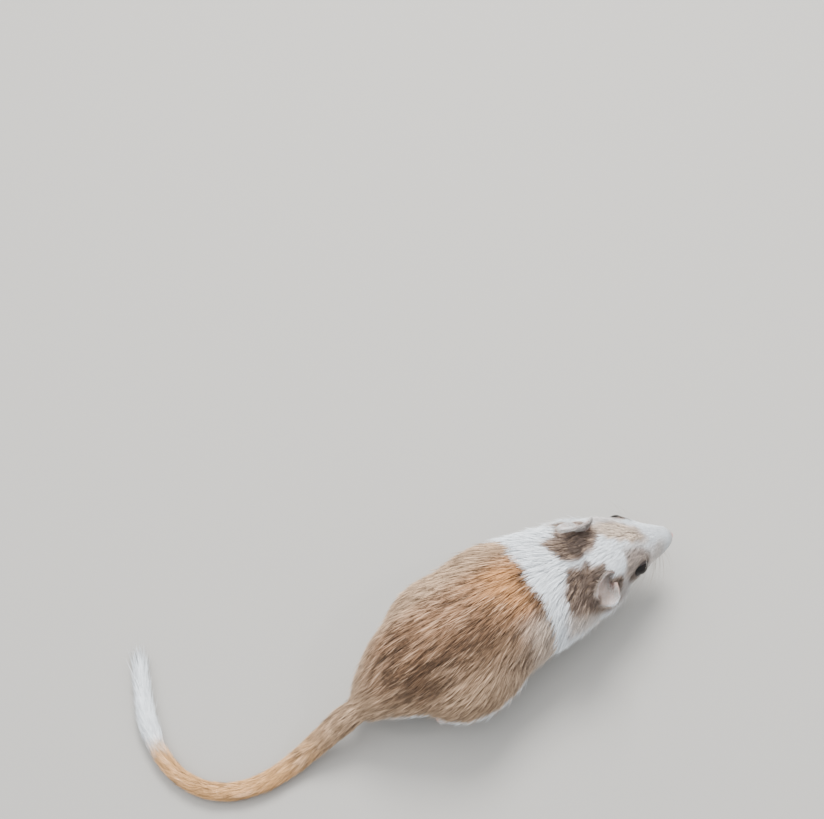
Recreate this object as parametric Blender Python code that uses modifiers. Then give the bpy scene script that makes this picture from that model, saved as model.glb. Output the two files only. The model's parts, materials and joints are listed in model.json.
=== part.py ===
"""A life-size adult Mongolian gerbil, crouched on the floor with its tail curled to its left.

Units are metres. The gerbil faces +X, its left side is +Y and the floor is Z = 0.
The hide is modelled whole, as one blended surface, and then parted with thin cuts into the
parts that a person would name. Feet, ears, eyes and the far lengths of the tail are modelled
on their own, each with a thin gap to what it grows from.
"""

import math

import bmesh
import bpy
import numpy as np
from mathutils import Euler, Matrix, Vector
from mathutils.bvhtree import BVHTree

# Driving dimensions
TRUNK_LENGTH = 0.095  # tail base to the middle of the neck
TRUNK_HALF_WIDTH = 0.0243  # at the loins, without the haunches
BACK_HEIGHT = 0.0475  # top of the back above the floor
HEAD_LENGTH = 0.0420  # back of the skull to the nose
HEAD_HALF_WIDTH = 0.0140  # at the cheeks
EYE_RADIUS = 0.0035
EAR_LENGTH = 0.0135
EAR_HALF_WIDTH = 0.0064  # along its curl
EAR_WALL = 0.0008
TAIL_LENGTH = 0.118
TAIL_RADIUS = 0.0035  # along the middle of the tail, over its fur
HIND_FOOT_LENGTH = 0.0315
FORE_FOOT_LENGTH = 0.0125
CUT = 0.0003  # gap between two neighbouring parts

# Cell sizes of the blended body and of the whole hide, and the share of its faces kept
BODY_CELL = 0.0009
HIDE_CELL = 0.00050
HIDE_KEPT = 0.0176

# Trunk sections: share of the trunk's length, side shift, half width, top and bottom,
# the shift and half width as shares of TRUNK_HALF_WIDTH and the heights of BACK_HEIGHT
TRUNK = (
    (-0.015, 0.02, 0.18, 0.47, 0.33),
    (0.020, 0.04, 0.36, 0.60, 0.23),
    (0.080, 0.07, 0.54, 0.75, 0.165),
    (0.145, 0.06, 0.68, 0.865, 0.120),
    (0.235, 0.04, 0.82, 0.95, 0.095),
    (0.350, 0.04, 0.93, 0.995, 0.085),
    (0.455, 0.07, 0.98, 1.00, 0.085),
    (0.550, 0.11, 1.00, 0.99, 0.095),
    (0.655, 0.11, 0.96, 0.965, 0.120),
    (0.755, 0.08, 0.90, 0.935, 0.160),
    (0.840, 0.05, 0.82, 0.895, 0.210),
    (0.925, 0.01, 0.73, 0.87, 0.280),
    (1.010, -0.04, 0.61, 0.84, 0.370),
)

# Head sections along its own axis: share of the head's length, half width, top and bottom,
# all three as shares of HEAD_HALF_WIDTH
HEAD = (
    (-0.04, 0.82, 0.68, -0.68),
    (0.06, 1.00, 0.80, -0.84),
    (0.18, 1.03, 0.88, -0.91),
    (0.32, 0.99, 0.89, -0.91),
    (0.43, 0.90, 0.85, -0.87),
    (0.53, 0.78, 0.775, -0.81),
    (0.64, 0.63, 0.67, -0.73),
    (0.75, 0.49, 0.56, -0.63),
    (0.86, 0.37, 0.445, -0.49),
    (0.94, 0.275, 0.33, -0.34),
    (0.985, 0.165, 0.205, -0.17),
)

# Where the head sits, and how it is held
HEAD_ROOT = Vector((0.0832, 0.0004, 0.0355))
HEAD_TURN = Euler((0, math.radians(20), math.radians(-8.2)))

# Places on the head, in its own frame: along its axis, to its left and up
EYE = Vector((0.0208, 0.0080, 0.0030))
EYE_LOOK = Vector((0.25, 0.92, 0.26)).normalized()
LID_SPREAD = (math.radians(70), math.radians(56))  # half the opening, along and across
LID_GIRTH = 0.00055

# Each ear's root, the way it points and the way its cup looks; the right ear lies out
EARS = {
    1: (
        Vector((0.0020, 0.0068, 0.0098)),
        Vector((-0.78, 0.05, 0.54)).normalized(),
        Vector((0.25, 0.93, 0.27)),
    ),
    -1: (
        Vector((0.0042, -0.0120, 0.0062)),
        Vector((-0.72, -0.56, 0.34)).normalized(),
        Vector((0.22, -0.60, 0.74)),
    ),
}

# How wide an ear is up its length, and how far round it curls (degrees each way)
EAR_OUTLINE = ((0, 0.52), (0.25, 0.84), (0.5, 1.0), (0.75, 0.93), (1, 0.66))
EAR_CURL = ((0, 106), (0.25, 76), (0.5, 52), (0.75, 38), (1, 26))
EAR_SUNK = 0.0022  # how deep its foot stands below the root's place
EAR_TIP_BACK = 0.0018
EAR_TIP_ROUND = 0.24  # share of its length that the tip's corners drop

# Soft masses on the skull in the head's frame, on both sides or on its middle
BROW = ((0.0195, 0.0056, 0.0050), (0.0070, 0.0040, 0.0040))
WHISKER_PAD = ((0.0336, 0.0026, -0.0022), (0.0055, 0.0032, 0.0035))
CHIN = ((0.0300, 0, -0.0066), (0.0058, 0.0034, 0.0026))
NOSE_PAD = ((0.0407, 0, 0.0012), (0.0017, 0.0023, 0.0018))

# The left half of the mouth's line, from the middle of the lips back to their corner
LIPS = (
    (0.0372, 0.0000, -0.0085),
    (0.0362, 0.0016, -0.0080),
    (0.0342, 0.0036, -0.0072),
    (0.0318, 0.0052, -0.0062),
    (0.0292, 0.0066, -0.0056),
)
LIP_GROOVE = 0.0005
CLEFT_LEVELS = (-0.0004, -0.0016, -0.0028, -0.0040)
CLEFT_GROOVE = 0.00035
NOSTRIL = ((0.0432, 0.0015, 0.0012), (0.0398, 0.0009, 0.0010))
NOSTRIL_GIRTHS = (0.0006, 0.00055, 0.0003)

# Legs: places for the left side
HAUNCH = (Vector((0.0355, 0.0148, 0.0215)), Vector((0.0190, 0.0116, 0.0170)))
KNEE = Vector((0.0490, 0.0168, 0.0128))
HEEL = Vector((0.0240, 0.0140, 0.0050))
SHOULDER = (Vector((0.0700, 0.0105, 0.0200)), Vector((0.0110, 0.0085, 0.0140)))
ELBOW = Vector((0.0680, 0.0135, 0.0120))
WRIST = Vector((0.0815, 0.0095, 0.0048))
HIND_LEG_PART = (Vector((0.0340, 0.0215, 0.0120)), Vector((0.0225, 0.0135, 0.0245)))
FORE_LEG_PART = (Vector((0.0740, 0.0150, 0.0050)), Vector((0.0135, 0.0095, 0.0155)))
SHANK_GIRTHS = (0.0070, 0.0055, 0.0038)
FOREARM_GIRTHS = (0.0056, 0.0042, 0.0029)
ANKLE_LEVEL = 0.0052
WRIST_LEVEL = 0.0044
HIND_FOOT_ROOM = ((0.010, 0.0112), (0.058, 0.032))  # clear of the hide below the ankle
FORE_FOOT_ROOM = ((0.070, 0.0050), (0.094, 0.018))

# Tail: height of its root, the direction it turns through, and its lengths
TAIL_ROOT_HEIGHT = 0.0165
TAIL_TURN = math.radians(-108)
TAIL_CUTS = (0.03, 0.22, 0.40, 0.58, 0.77)
BRUSH_LOCKS = 34
BRUSH_SEED = 7
BRUSH_CORE_END = 0.93  # as a share of the tail
LOCK_LENGTHS = (0.0105, 0.0135)
LOCK_WIDTHS = (0.0009, 0.0012)
LOCK_THICKNESS = 0.00042
LOCK_TURN = math.radians(137.5)  # from one lock to the next, round the tail

COLOURS = {
    "coat_golden": ((0.50, 0.34, 0.20), 0.85),
    "coat_white": ((0.86, 0.84, 0.80), 0.85),
    "skin_pink": ((0.80, 0.58, 0.50), 0.55),
    "eye_black": ((0.012, 0.010, 0.010), 0.08),
}

# Cuts that part the head from the neck and the neck from the trunk: a place and the way on
HEAD_CUT = (Vector((0.0850, 0.0015, 0.0330)), Vector((0.93, -0.10, 0.22)).normalized())
NECK_CUT = (Vector((0.0735, 0.0000, 0.0300)), Vector((0.88, 0.00, 0.47)).normalized())


# Small tools


def mirrored(point, side):
    """The left-hand place seen on the left (side 1) or on the right (side -1)."""
    return Vector((point[0], side * point[1], point[2]))


def between(rows, places):
    """Smooth values at the places, through rows of (key, value, value, ...)."""
    rows = np.array(rows, float)
    keys, values = rows[:, 0], rows[:, 1:]
    slopes = np.gradient(values, keys, axis=0)
    places = np.atleast_1d(np.asarray(places, float))
    low = np.clip(np.searchsorted(keys, places) - 1, 0, len(keys) - 2)
    width = (keys[low + 1] - keys[low])[:, None]
    t = (places[:, None] - keys[low][:, None]) / width
    start, end = values[low], values[low + 1]
    return (
        (1 + 2 * t) * (1 - t) ** 2 * start
        + t * (1 - t) ** 2 * width * slopes[low]
        + t**2 * (3 - 2 * t) * end
        + t**2 * (t - 1) * width * slopes[low + 1]
    )


def new_object(name, bm):
    """An object named name that holds the bmesh, linked to the scene."""
    bmesh.ops.recalc_face_normals(bm, faces=bm.faces)
    mesh = bpy.data.meshes.new(name)
    bm.to_mesh(mesh)
    bm.free()
    made = bpy.data.objects.new(name, mesh)
    bpy.context.scene.collection.objects.link(made)
    return made


def lofted(name, rings):
    """A closed skin over rings of points, each end closed by a fan."""
    bm = bmesh.new()
    rows = [[bm.verts.new(point) for point in ring] for ring in rings]
    sides = len(rows[0])
    for row, following in zip(rows, rows[1:]):
        for i in range(sides):
            j = (i + 1) % sides
            bm.faces.new((row[i], row[j], following[j], following[i]))
    for row in (rows[0], rows[-1]):
        middle = bm.verts.new(sum((v.co for v in row), Vector()) / sides)
        for i in range(sides):
            bm.faces.new((row[i], row[(i + 1) % sides], middle))
    return new_object(name, bm)


def swept(name, centres, widths, heights, sides=10, up=Vector((0, 0, 1)), ways=None):
    """A closed tube along the centres, with oval sections that lie flat across up."""
    centres = [Vector(c) for c in centres]
    rings = []
    for i, centre in enumerate(centres):
        along = centres[min(i + 1, len(centres) - 1)] - centres[max(i - 1, 0)]
        if ways is not None:
            along = ways[i]
        across = up.cross(along).normalized()
        over = along.cross(across).normalized()
        ring = []
        for k in range(sides):
            angle = 2 * math.pi * k / sides
            out = across * (widths[i] * math.cos(angle))
            ring.append(centre + out + over * (heights[i] * math.sin(angle)))
        rings.append(ring)
    return lofted(name, rings)


def ellipsoid(name, centre, radii, segments=28, rings=16):
    bm = bmesh.new()
    bmesh.ops.create_uvsphere(bm, u_segments=segments, v_segments=rings, radius=1)
    bmesh.ops.transform(
        bm,
        matrix=Matrix.Translation(centre) @ Matrix.Diagonal((*radii, 1)),
        verts=bm.verts,
    )
    return new_object(name, bm)


def box(name, low, high):
    bm = bmesh.new()
    bmesh.ops.create_cube(bm, size=1)
    low, high = Vector(low), Vector(high)
    bmesh.ops.transform(
        bm,
        matrix=Matrix.Translation((low + high) / 2)
        @ Matrix.Diagonal((*(high - low), 1)),
        verts=bm.verts,
    )
    return new_object(name, bm)


def slab(name, centre, normal, size, thickness):
    """A square plate that lies across normal."""
    made = box(name, (-size, -size, -thickness / 2), (size, size, thickness / 2))
    turn = Vector(normal).to_track_quat("Z", "Y").to_matrix().to_4x4()
    made.data.transform(Matrix.Translation(centre) @ turn)
    return made


def removed(*objects):
    for each in objects:
        bpy.data.objects.remove(each)


def applied(obj):
    """Puts the object's modifiers into its mesh."""
    bpy.context.view_layer.update()
    graph = bpy.context.evaluated_depsgraph_get()
    mesh = bpy.data.meshes.new_from_object(obj.evaluated_get(graph))
    obj.modifiers.clear()
    obj.data = mesh
    return obj


def boolean(obj, others, operation, solver="MANIFOLD"):
    """Joins, cuts or keeps the object by the others, which are then removed."""
    group = bpy.data.collections.new("operands")
    bpy.context.scene.collection.children.link(group)
    for each in others:
        group.objects.link(each)
    modifier = obj.modifiers.new("boolean", "BOOLEAN")
    modifier.operation = operation
    modifier.operand_type = "COLLECTION"
    modifier.collection = group
    modifier.solver = solver
    applied(obj)
    removed(*others)
    bpy.data.collections.remove(group)
    return obj


def joined(name, objects):
    """One object that holds the meshes of all of them, still overlapping."""
    bm = bmesh.new()
    for each in objects:
        bm.from_mesh(each.data)
    removed(*objects)
    return new_object(name, bm)


def blended(obj, cell, rounds, kept):
    """Melts overlapping shapes into one smooth surface and thins out its faces."""
    remesh = obj.modifiers.new("remesh", "REMESH")
    remesh.mode = "VOXEL"
    remesh.voxel_size = cell
    smooth = obj.modifiers.new("smooth", "SMOOTH")
    smooth.factor = 0.5
    smooth.iterations = rounds
    if kept < 1:
        thin = obj.modifiers.new("thin", "DECIMATE")
        thin.ratio = kept
        thin.use_collapse_triangulate = True
    return applied(obj)


def islands(obj):
    """The sets of faces of the object's mesh that hang together, largest first."""
    bm = bmesh.new()
    bm.from_mesh(obj.data)
    bm.faces.ensure_lookup_table()
    seen = set()
    found = []
    for first in bm.faces:
        if first.index in seen:
            continue
        seen.add(first.index)
        island, queue = [], [first]
        while queue:
            face = queue.pop()
            island.append(face.index)
            for edge in face.edges:
                for near in edge.link_faces:
                    if near.index not in seen:
                        seen.add(near.index)
                        queue.append(near)
        found.append(island)
    bm.free()
    return sorted(found, key=len, reverse=True)


def island_object(name, obj, island):
    """A new object that holds only these faces of obj."""
    bm = bmesh.new()
    bm.from_mesh(obj.data)
    wanted = set(island)
    spare = [face for face in bm.faces if face.index not in wanted]
    bmesh.ops.delete(bm, geom=spare, context="FACES")
    return new_object(name, bm)


def largest(obj):
    """Keeps only the object's largest closed surface."""
    kept = island_object(obj.name, obj, islands(obj)[0])
    obj.data = kept.data
    removed(kept)
    return obj


def above_floor(obj):
    """Cuts the object flat at the floor."""
    return boolean(obj, [box("below", (-1, -1, -1), (1, 1, 0))], "DIFFERENCE")


def finished(obj, name, slot):
    """Names the part, shades it smooth and gives it its material."""
    obj.name = name
    obj.data.name = name
    obj.data.materials.clear()
    obj.data.materials.append(bpy.data.materials[slot])
    obj.data.shade_smooth()
    obj.data.set_sharp_from_angle(angle=math.radians(40))
    return obj


def material(name, colour, roughness):
    made = bpy.data.materials.new(name)
    made.use_nodes = True
    shader = made.node_tree.nodes["Principled BSDF"]
    shader.inputs["Base Color"].default_value = (*colour, 1)
    shader.inputs["Roughness"].default_value = roughness
    shader.inputs["Metallic"].default_value = 0


# Hide


def section(half_width, top, bottom, sides, widest=0.44):
    """(across, up) of a rounded section, widest at that share of its height."""
    middle = bottom + widest * (top - bottom)
    points = []
    for k in range(sides):
        angle = 2 * math.pi * k / sides
        reach = top - middle if math.sin(angle) > 0 else middle - bottom
        points.append(
            (half_width * math.cos(angle), middle + reach * math.sin(angle))
        )
    return points


def trunk():
    rings = []
    places = np.linspace(TRUNK[0][0], TRUNK[-1][0], 40)
    for share, row in zip(places, between(TRUNK, places)):
        shift, half_width, top, bottom = row
        outline = section(
            half_width * TRUNK_HALF_WIDTH, top * BACK_HEIGHT, bottom * BACK_HEIGHT, 36
        )
        rings.append(
            [
                Vector((share * TRUNK_LENGTH, shift * TRUNK_HALF_WIDTH + y, z))
                for y, z in outline
            ]
        )
    return lofted("trunk", rings)


def head_place():
    """The matrix from the head's own frame to the world."""
    return Matrix.Translation(HEAD_ROOT) @ HEAD_TURN.to_matrix().to_4x4()


def skull():
    rings = []
    places = np.linspace(HEAD[0][0], HEAD[-1][0], 36)
    for share, row in zip(places, between(HEAD, places)):
        half_width, top, bottom = row * HEAD_HALF_WIDTH
        rings.append(
            [
                Vector((share * HEAD_LENGTH, y, z))
                for y, z in section(half_width, top, bottom, 32, widest=0.46)
            ]
        )
    return lofted("skull", rings)


def head_masses():
    """Skull, brows, whisker pads, chin and nose pad, in the head's own frame."""
    masses = [skull()]
    for side in (1, -1):
        for centre, radii in (BROW, WHISKER_PAD):
            masses.append(ellipsoid("mass", mirrored(centre, side), radii))
    masses.append(ellipsoid("chin", *CHIN))
    masses.append(ellipsoid("nose_pad", *NOSE_PAD))
    return masses


def lid_edge(side, distance, slack=0):
    """The almond outline of the open eye, at that distance from the eye's centre."""
    look = mirrored(EYE_LOOK, side)
    ahead = Vector((1, 0, -0.22))
    ahead = (ahead - look * ahead.dot(look)).normalized()
    up = look.cross(ahead) * side
    points = []
    for k in range(28):
        angle = 2 * math.pi * k / 28
        along, across = math.cos(angle) / LID_SPREAD[0], math.sin(angle) / LID_SPREAD[1]
        spread = 1 / math.hypot(along, across) - slack
        way = ahead * math.cos(angle) + up * math.sin(angle)
        way = look * math.cos(spread) + way * math.sin(spread)
        points.append(mirrored(EYE, side) + way * distance)
    return points


def lids(side):
    """Both lids of an eye: a rim round the almond opening, on a mound that holds the eye."""
    rim = lid_edge(side, EYE_RADIUS + CUT)
    rim = rim + rim[:2]
    girth = [LID_GIRTH] * len(rim)
    ring = swept("lid", rim, girth, girth, sides=10)
    radius = EYE_RADIUS + 0.00085
    mound = ellipsoid("mound", mirrored(EYE, side), (radius, radius, radius), 24, 16)
    return [ring, boolean(mound, [eye_opening(side)], "DIFFERENCE")]


def eye_opening(side):
    """A cone that opens the lids, from the middle of the eye outwards."""
    slack = LID_GIRTH / EYE_RADIUS * 0.8
    near, far = lid_edge(side, EYE_RADIUS * 0.3, slack), lid_edge(side, EYE_RADIUS * 2, slack)
    return lofted("opening", [near, far])


def limb(name, places, radii):
    """A rounded, tapering length of leg through the places."""
    ends = [places[0]] + list(places) + [places[-1]]
    ends[0] = places[0] + (places[0] - places[1]).normalized() * radii[0] * 0.7
    ends[-1] = places[-1] + (places[-1] - places[-2]).normalized() * radii[-1] * 0.7
    girths = [radii[0] * 0.5] + list(radii) + [radii[-1] * 0.5]
    return swept(name, ends, girths, girths, sides=16, up=Vector((0.1, 1, 0.1)))


def leg_masses():
    masses = []
    for side in (1, -1):
        for centre, radii in (HAUNCH, SHOULDER):
            masses.append(ellipsoid("mass", mirrored(centre, side), radii))
        knee, heel = mirrored(KNEE, side), mirrored(HEEL, side)
        masses.append(limb("shank", [knee, (knee + heel) / 2, heel], SHANK_GIRTHS))
        elbow, wrist = mirrored(ELBOW, side), mirrored(WRIST, side)
        masses.append(limb("forearm", [elbow, (elbow + wrist) / 2, wrist], FOREARM_GIRTHS))
    return masses


# Tail


def tail_line(count=120):
    """Points along the tail's middle, the way it points there, and its radii."""
    shares = np.linspace(-0.06, 1, count)
    step = TAIL_LENGTH * (shares[1] - shares[0])
    bend = np.clip((shares - 0.24) / 0.64, 0, 1)
    heading = math.pi + 0.09 * np.sin(math.pi * np.clip(shares / 0.5, 0, 1))
    heading = heading + TAIL_TURN * (bend * bend * (3 - 2 * bend))
    x = np.cumsum(np.cos(heading)) * step
    y = np.cumsum(np.sin(heading)) * step
    radii = TAIL_RADIUS * between(
        ((-0.06, 1.95), (0, 1.66), (0.1, 1.42), (0.25, 1.14), (0.5, 1.0), (0.8, 0.92), (1, 0.8)),
        shares,
    )[:, 0]
    lying = 0.93 * radii
    fall = np.clip((shares + 0.02) / 0.30, 0, 1)
    fall = 1 - fall * fall * (3 - 2 * fall)
    z = lying + (TAIL_ROOT_HEIGHT - lying) * fall
    start = np.argmin(np.abs(shares))
    points = np.stack([x - x[start], y - y[start], z], 1)
    return shares, points, radii


def tail_length(name, low, high, count=14, shrink=None):
    """A closed length of the tail between two shares of it."""
    shares, _, radii = tail_line()
    places = np.linspace(low, high, count)
    girths = np.interp(places, shares, radii)
    if shrink is not None:
        girths = girths * shrink(places)
    centres, ways = zip(*(on_tail(share) for share in places))
    return swept(name, centres, girths, girths, sides=16, ways=ways)


def on_tail(share):
    """The point on the tail's middle at that share, and the way it runs there."""
    shares, points, _ = tail_line()
    before, at, after = (
        Vector([np.interp(share + step, shares, points[:, k]) for k in range(3)])
        for step in (-0.01, 0, 0.01)
    )
    return at, (after - before).normalized()


def lock(root, along, side, length, width):
    """A flat, tapering lock that bends back towards the tail's own line."""
    centres, widths, heights = [], [], []
    for t in (0, 0.35, 0.7, 1):
        centre = root + along * (length * t) + side * (length * 0.22 * math.sin(1.9 * t))
        centre.z = max(centre.z, LOCK_THICKNESS)
        centres.append(centre)
        widths.append(width * (1 - 0.86 * t**1.5))
        heights.append(LOCK_THICKNESS * (1 - 0.70 * t))
    return swept("lock", centres, widths, heights, sides=4, up=side)


def brush(name, low):
    """The tail's last length: a thin core with locks rooted all along and round it."""
    core = tail_length(
        "core", low, BRUSH_CORE_END, shrink=lambda at: 1 - 0.62 * ((at - low) / (1 - low)) ** 0.6
    )
    shares, _, radii = tail_line()
    rng = np.random.default_rng(BRUSH_SEED)
    locks = []
    for i in range(BRUSH_LOCKS):
        share = low + 0.012 + (0.915 - low) * i / BRUSH_LOCKS
        at, along = on_tail(share)
        angle = i * LOCK_TURN + rng.uniform(-0.25, 0.25)
        across = Vector((0, 0, 1)).cross(along).normalized()
        side = across * math.cos(angle) + along.cross(across) * math.sin(angle)
        girth = np.interp(share, shares, radii) * 0.52
        length, width = rng.uniform(*LOCK_LENGTHS), rng.uniform(*LOCK_WIDTHS)
        locks.append(lock(at + side * girth * 0.4, along, side, length, width))
    return largest(above_floor(boolean(core, locks, "UNION")))


# Feet


def digit(root, tip, radius, claw_length):
    """A toe from its root to its tip, with its knuckle raised, and its claw."""
    along = (tip - root).normalized()
    shares = (0, 0.3, 0.6, 0.85, 1)
    arch = (0.0, 0.0006, 0.0004, 0.0, -0.0001)
    centres = [root.lerp(tip, t) + Vector((0, 0, a)) for t, a in zip(shares, arch)]
    girths = [radius * g for g in (1.0, 1.0, 0.92, 0.95, 0.6)]
    toe = swept("toe", centres, girths, girths, sides=6)
    claw_path = [
        tip - along * 0.0006,
        tip + along * claw_length * 0.5 + Vector((0, 0, 0.00012)),
        tip + along * claw_length - Vector((0, 0, 0.00035)),
    ]
    claw = swept("claw", claw_path, (0.00042, 0.00032, 0.0001), (0.0005, 0.00036, 0.0001), sides=4)
    return [toe, claw]


def foot(name, heel, length, width, height, toes, turn_out):
    """A foot from its heel forward: sole, toes and claws, flat on the floor."""
    sole_rows = (
        (0.0, 0.34, 0.74),
        (0.07, 0.60, 1.0),
        (0.22, 0.72, 1.0),
        (0.42, 0.86, 0.82),
        (0.58, 1.0, 0.70),
        (0.68, 0.90, 0.55),
        (0.72, 0.50, 0.30),
    )
    centres = [(row[0] * length, 0, 0.40 * row[2] * height) for row in sole_rows]
    widths = [row[1] * width / 2 for row in sole_rows]
    heights = [0.62 * row[2] * height for row in sole_rows]
    sole = swept("sole", centres, widths, heights, sides=12)
    pieces = []
    for across, start, reach, radius, claw in toes:
        root = Vector((start * length, across * width * 0.42, radius * 0.95))
        tip = Vector((reach * length, across * width * 0.62, radius * 0.80))
        pieces += digit(root, tip, radius, claw)
    made = boolean(sole, pieces, "UNION")
    made.data.transform(Matrix.Translation((heel.x, heel.y, 0)) @ Matrix.Rotation(turn_out, 4, "Z"))
    above_floor(made)
    lid = box("above", (-1, -1, height), (1, 1, 1))
    return largest(boolean(made, [lid], "DIFFERENCE"))


def hind_foot(name, side):
    toes = (
        (-0.95, 0.42, 0.76, 0.00075, 0.0014),
        (-0.52, 0.60, 0.92, 0.00092, 0.0020),
        (0.0, 0.62, 0.955, 0.00095, 0.0021),
        (0.52, 0.60, 0.925, 0.00092, 0.0020),
        (0.95, 0.46, 0.80, 0.00080, 0.0016),
    )
    heel = mirrored(HEEL, side) - Vector((0.004, 0, 0))
    return foot(
        name, heel, HIND_FOOT_LENGTH, 0.0066, ANKLE_LEVEL - CUT, toes, side * math.radians(7)
    )


def fore_foot(name, side):
    toes = (
        (-0.90, 0.44, 0.84, 0.00068, 0.0014),
        (-0.32, 0.56, 0.93, 0.00072, 0.0016),
        (0.32, 0.56, 0.93, 0.00072, 0.0016),
        (0.90, 0.44, 0.84, 0.00068, 0.0014),
    )
    heel = mirrored(WRIST, side) - Vector((0.0030, 0, 0))
    return foot(
        name, heel, FORE_FOOT_LENGTH, 0.0062, WRIST_LEVEL - CUT, toes, side * math.radians(4)
    )


# Ears


def ear(name, side, head):
    """A cupped ear: a curled sheet given thickness, cut to sit on the head's surface."""
    rows, columns = 10, 11
    bm = bmesh.new()
    grid = []
    for i in range(rows):
        v = i / (rows - 1)
        half_width = between(EAR_OUTLINE, v)[0, 0] * EAR_HALF_WIDTH
        half_angle = math.radians(between(EAR_CURL, v)[0, 0])
        curl = half_width / half_angle
        row = []
        for j in range(columns):
            angle = half_angle * (2 * j / (columns - 1) - 1)
            edge = abs(2 * j / (columns - 1) - 1)
            forward = curl * (1 - math.cos(angle)) - EAR_TIP_BACK * v * v
            height = EAR_LENGTH * v * (1 - EAR_TIP_ROUND * v * edge**2)
            row.append(bm.verts.new((forward, curl * math.sin(angle), height)))
        grid.append(row)
    for row, following in zip(grid, grid[1:]):
        for j in range(columns - 1):
            bm.faces.new((row[j], row[j + 1], following[j + 1], following[j]))
    made = new_object(name, bm)
    wall = made.modifiers.new("wall", "SOLIDIFY")
    wall.thickness = EAR_WALL
    wall.offset = 0
    applied(made)
    root, tip, look = EARS[side]
    across = tip.cross(look).normalized()
    look = across.cross(tip)
    turn = Matrix((look, across, tip)).transposed().to_4x4()
    place = head_place() @ Matrix.Translation(root - tip * EAR_SUNK) @ turn
    made.data.transform(place)
    return largest(boolean(made, [swollen(head)], "DIFFERENCE"))


def swollen(obj):
    """A copy of the object grown by the width of a cut."""
    copy = copied(obj, "swollen")
    grow = copy.modifiers.new("grow", "DISPLACE")
    grow.mid_level = 0
    grow.strength = CUT
    return applied(copy)


# Face


def surface_tree(obj):
    bm = bmesh.new()
    bm.from_mesh(obj.data)
    tree = BVHTree.FromBMesh(bm)
    bm.free()
    return tree


def groove(tree, line, radius):
    """A thin tube that follows the head's surface where the line's rays meet it."""
    place = head_place()
    hits = []
    for start, aim in line:
        origin, target = place @ Vector(start), place @ Vector(aim)
        hit = tree.ray_cast(origin, (target - origin).normalized())[0]
        hits.append(hit)
    widths = [radius * (0.5 if i in (0, len(hits) - 1) else 1) for i in range(len(hits))]
    return swept("groove", hits, widths, widths, sides=8, up=Vector((0.3, 0.2, 1)))


def mouth_cutters(head):
    """The line of the mouth, the cleft below the nose and both nostrils."""
    tree = surface_tree(head)
    cleft = [((1.1 * HEAD_LENGTH, 0, z), (0.7 * HEAD_LENGTH, 0, z)) for z in CLEFT_LEVELS]
    cutters = [groove(tree, cleft, CLEFT_GROOVE)]
    for side in (1, -1):
        lip = []
        for x, y, z in LIPS:
            start = (x + 0.002, side * y * 2.2, z - 0.004)
            lip.append((start, (x - 0.004, 0, -0.0020)))
        cutters.append(groove(tree, lip, LIP_GROOVE))
        start, end = (head_place() @ mirrored(place, side) for place in NOSTRIL)
        places = [start, (start + end) / 2, end]
        cutters.append(swept("nostril", places, NOSTRIL_GIRTHS, NOSTRIL_GIRTHS, sides=8))
    return cutters


def whole_hide():
    """The whole animal but its feet, ears, eyes and tail, as one smooth surface."""
    masses = [trunk(), tail_length("tail_root", -0.06, 0.08)] + leg_masses()
    body = blended(joined("body", masses), BODY_CELL, 12, 1)
    masses = head_masses() + lids(1) + lids(-1)
    for each in masses:
        each.data.transform(head_place())
    return largest(blended(joined("hide", masses + [body]), HIDE_CELL, 4, HIDE_KEPT))


def eye(name, side, grown=0):
    """An eyeball in its socket, or the socket itself when grown."""
    centre = head_place() @ mirrored(EYE, side)
    radius = EYE_RADIUS + grown
    return ellipsoid(name, centre, (radius, radius, radius), 20, 10)


def copied(obj, name):
    copy = bpy.data.objects.new(name, obj.data.copy())
    bpy.context.scene.collection.objects.link(copy)
    return copy


def half_space(place, way):
    """A large block on the side of way, that begins half a cut before the place."""
    depth = 0.2
    return slab("half", place + way * (depth - CUT) / 2, way, depth, depth)


def leg_room(part, side, grown=0):
    centre, radii = part
    return ellipsoid("room", mirrored(centre, side), radii + Vector((grown,) * 3), 28, 16)


def foot_rooms():
    """Blocks over the feet that clear the hide down to the tops of the feet."""
    rooms = []
    for (low, high), level in ((HIND_FOOT_ROOM, ANKLE_LEVEL), (FORE_FOOT_ROOM, WRIST_LEVEL)):
        (near, inner), (far, outer) = low, high
        rooms.append(box("room", (near, inner, -level), (far, outer, level)))
        rooms.append(box("room", (near, -outer, -level), (far, -inner, level)))
    return rooms


def make_hide_parts():
    """Parts the hide with thin cuts into head, neck, torso and legs."""
    hide = whole_hide()
    openings = mouth_cutters(hide)
    for side in (1, -1):
        cone = eye_opening(side)
        cone.data.transform(head_place())
        openings += [eye("socket", side, CUT), cone]
    boolean(hide, openings, "DIFFERENCE")
    boolean(hide, [half_space(*on_tail(TAIL_CUTS[0]))] + foot_rooms(), "DIFFERENCE")
    parts = {}
    for side, word in ((1, "left"), (-1, "right")):
        for name, part in (("hindleg", HIND_LEG_PART), ("foreleg", FORE_LEG_PART)):
            leg = boolean(copied(hide, "leg"), [leg_room(part, side)], "INTERSECT")
            parts[name + "_" + word] = largest(leg)
    rooms = []
    for side in (1, -1):
        rooms += [leg_room(HIND_LEG_PART, side, CUT), leg_room(FORE_LEG_PART, side, CUT)]
    boolean(hide, rooms, "DIFFERENCE")
    head_ahead, neck_ahead = half_space(*HEAD_CUT), half_space(*NECK_CUT)
    head_behind = half_space(HEAD_CUT[0], -HEAD_CUT[1])
    neck_behind = half_space(NECK_CUT[0], -NECK_CUT[1])
    parts["neck"] = largest(boolean(copied(hide, "neck"), [head_ahead, neck_behind], "DIFFERENCE"))
    parts["torso"] = largest(boolean(copied(hide, "torso"), [neck_ahead], "DIFFERENCE"))
    parts["head"] = largest(boolean(hide, [head_behind], "DIFFERENCE"))
    return parts


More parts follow.
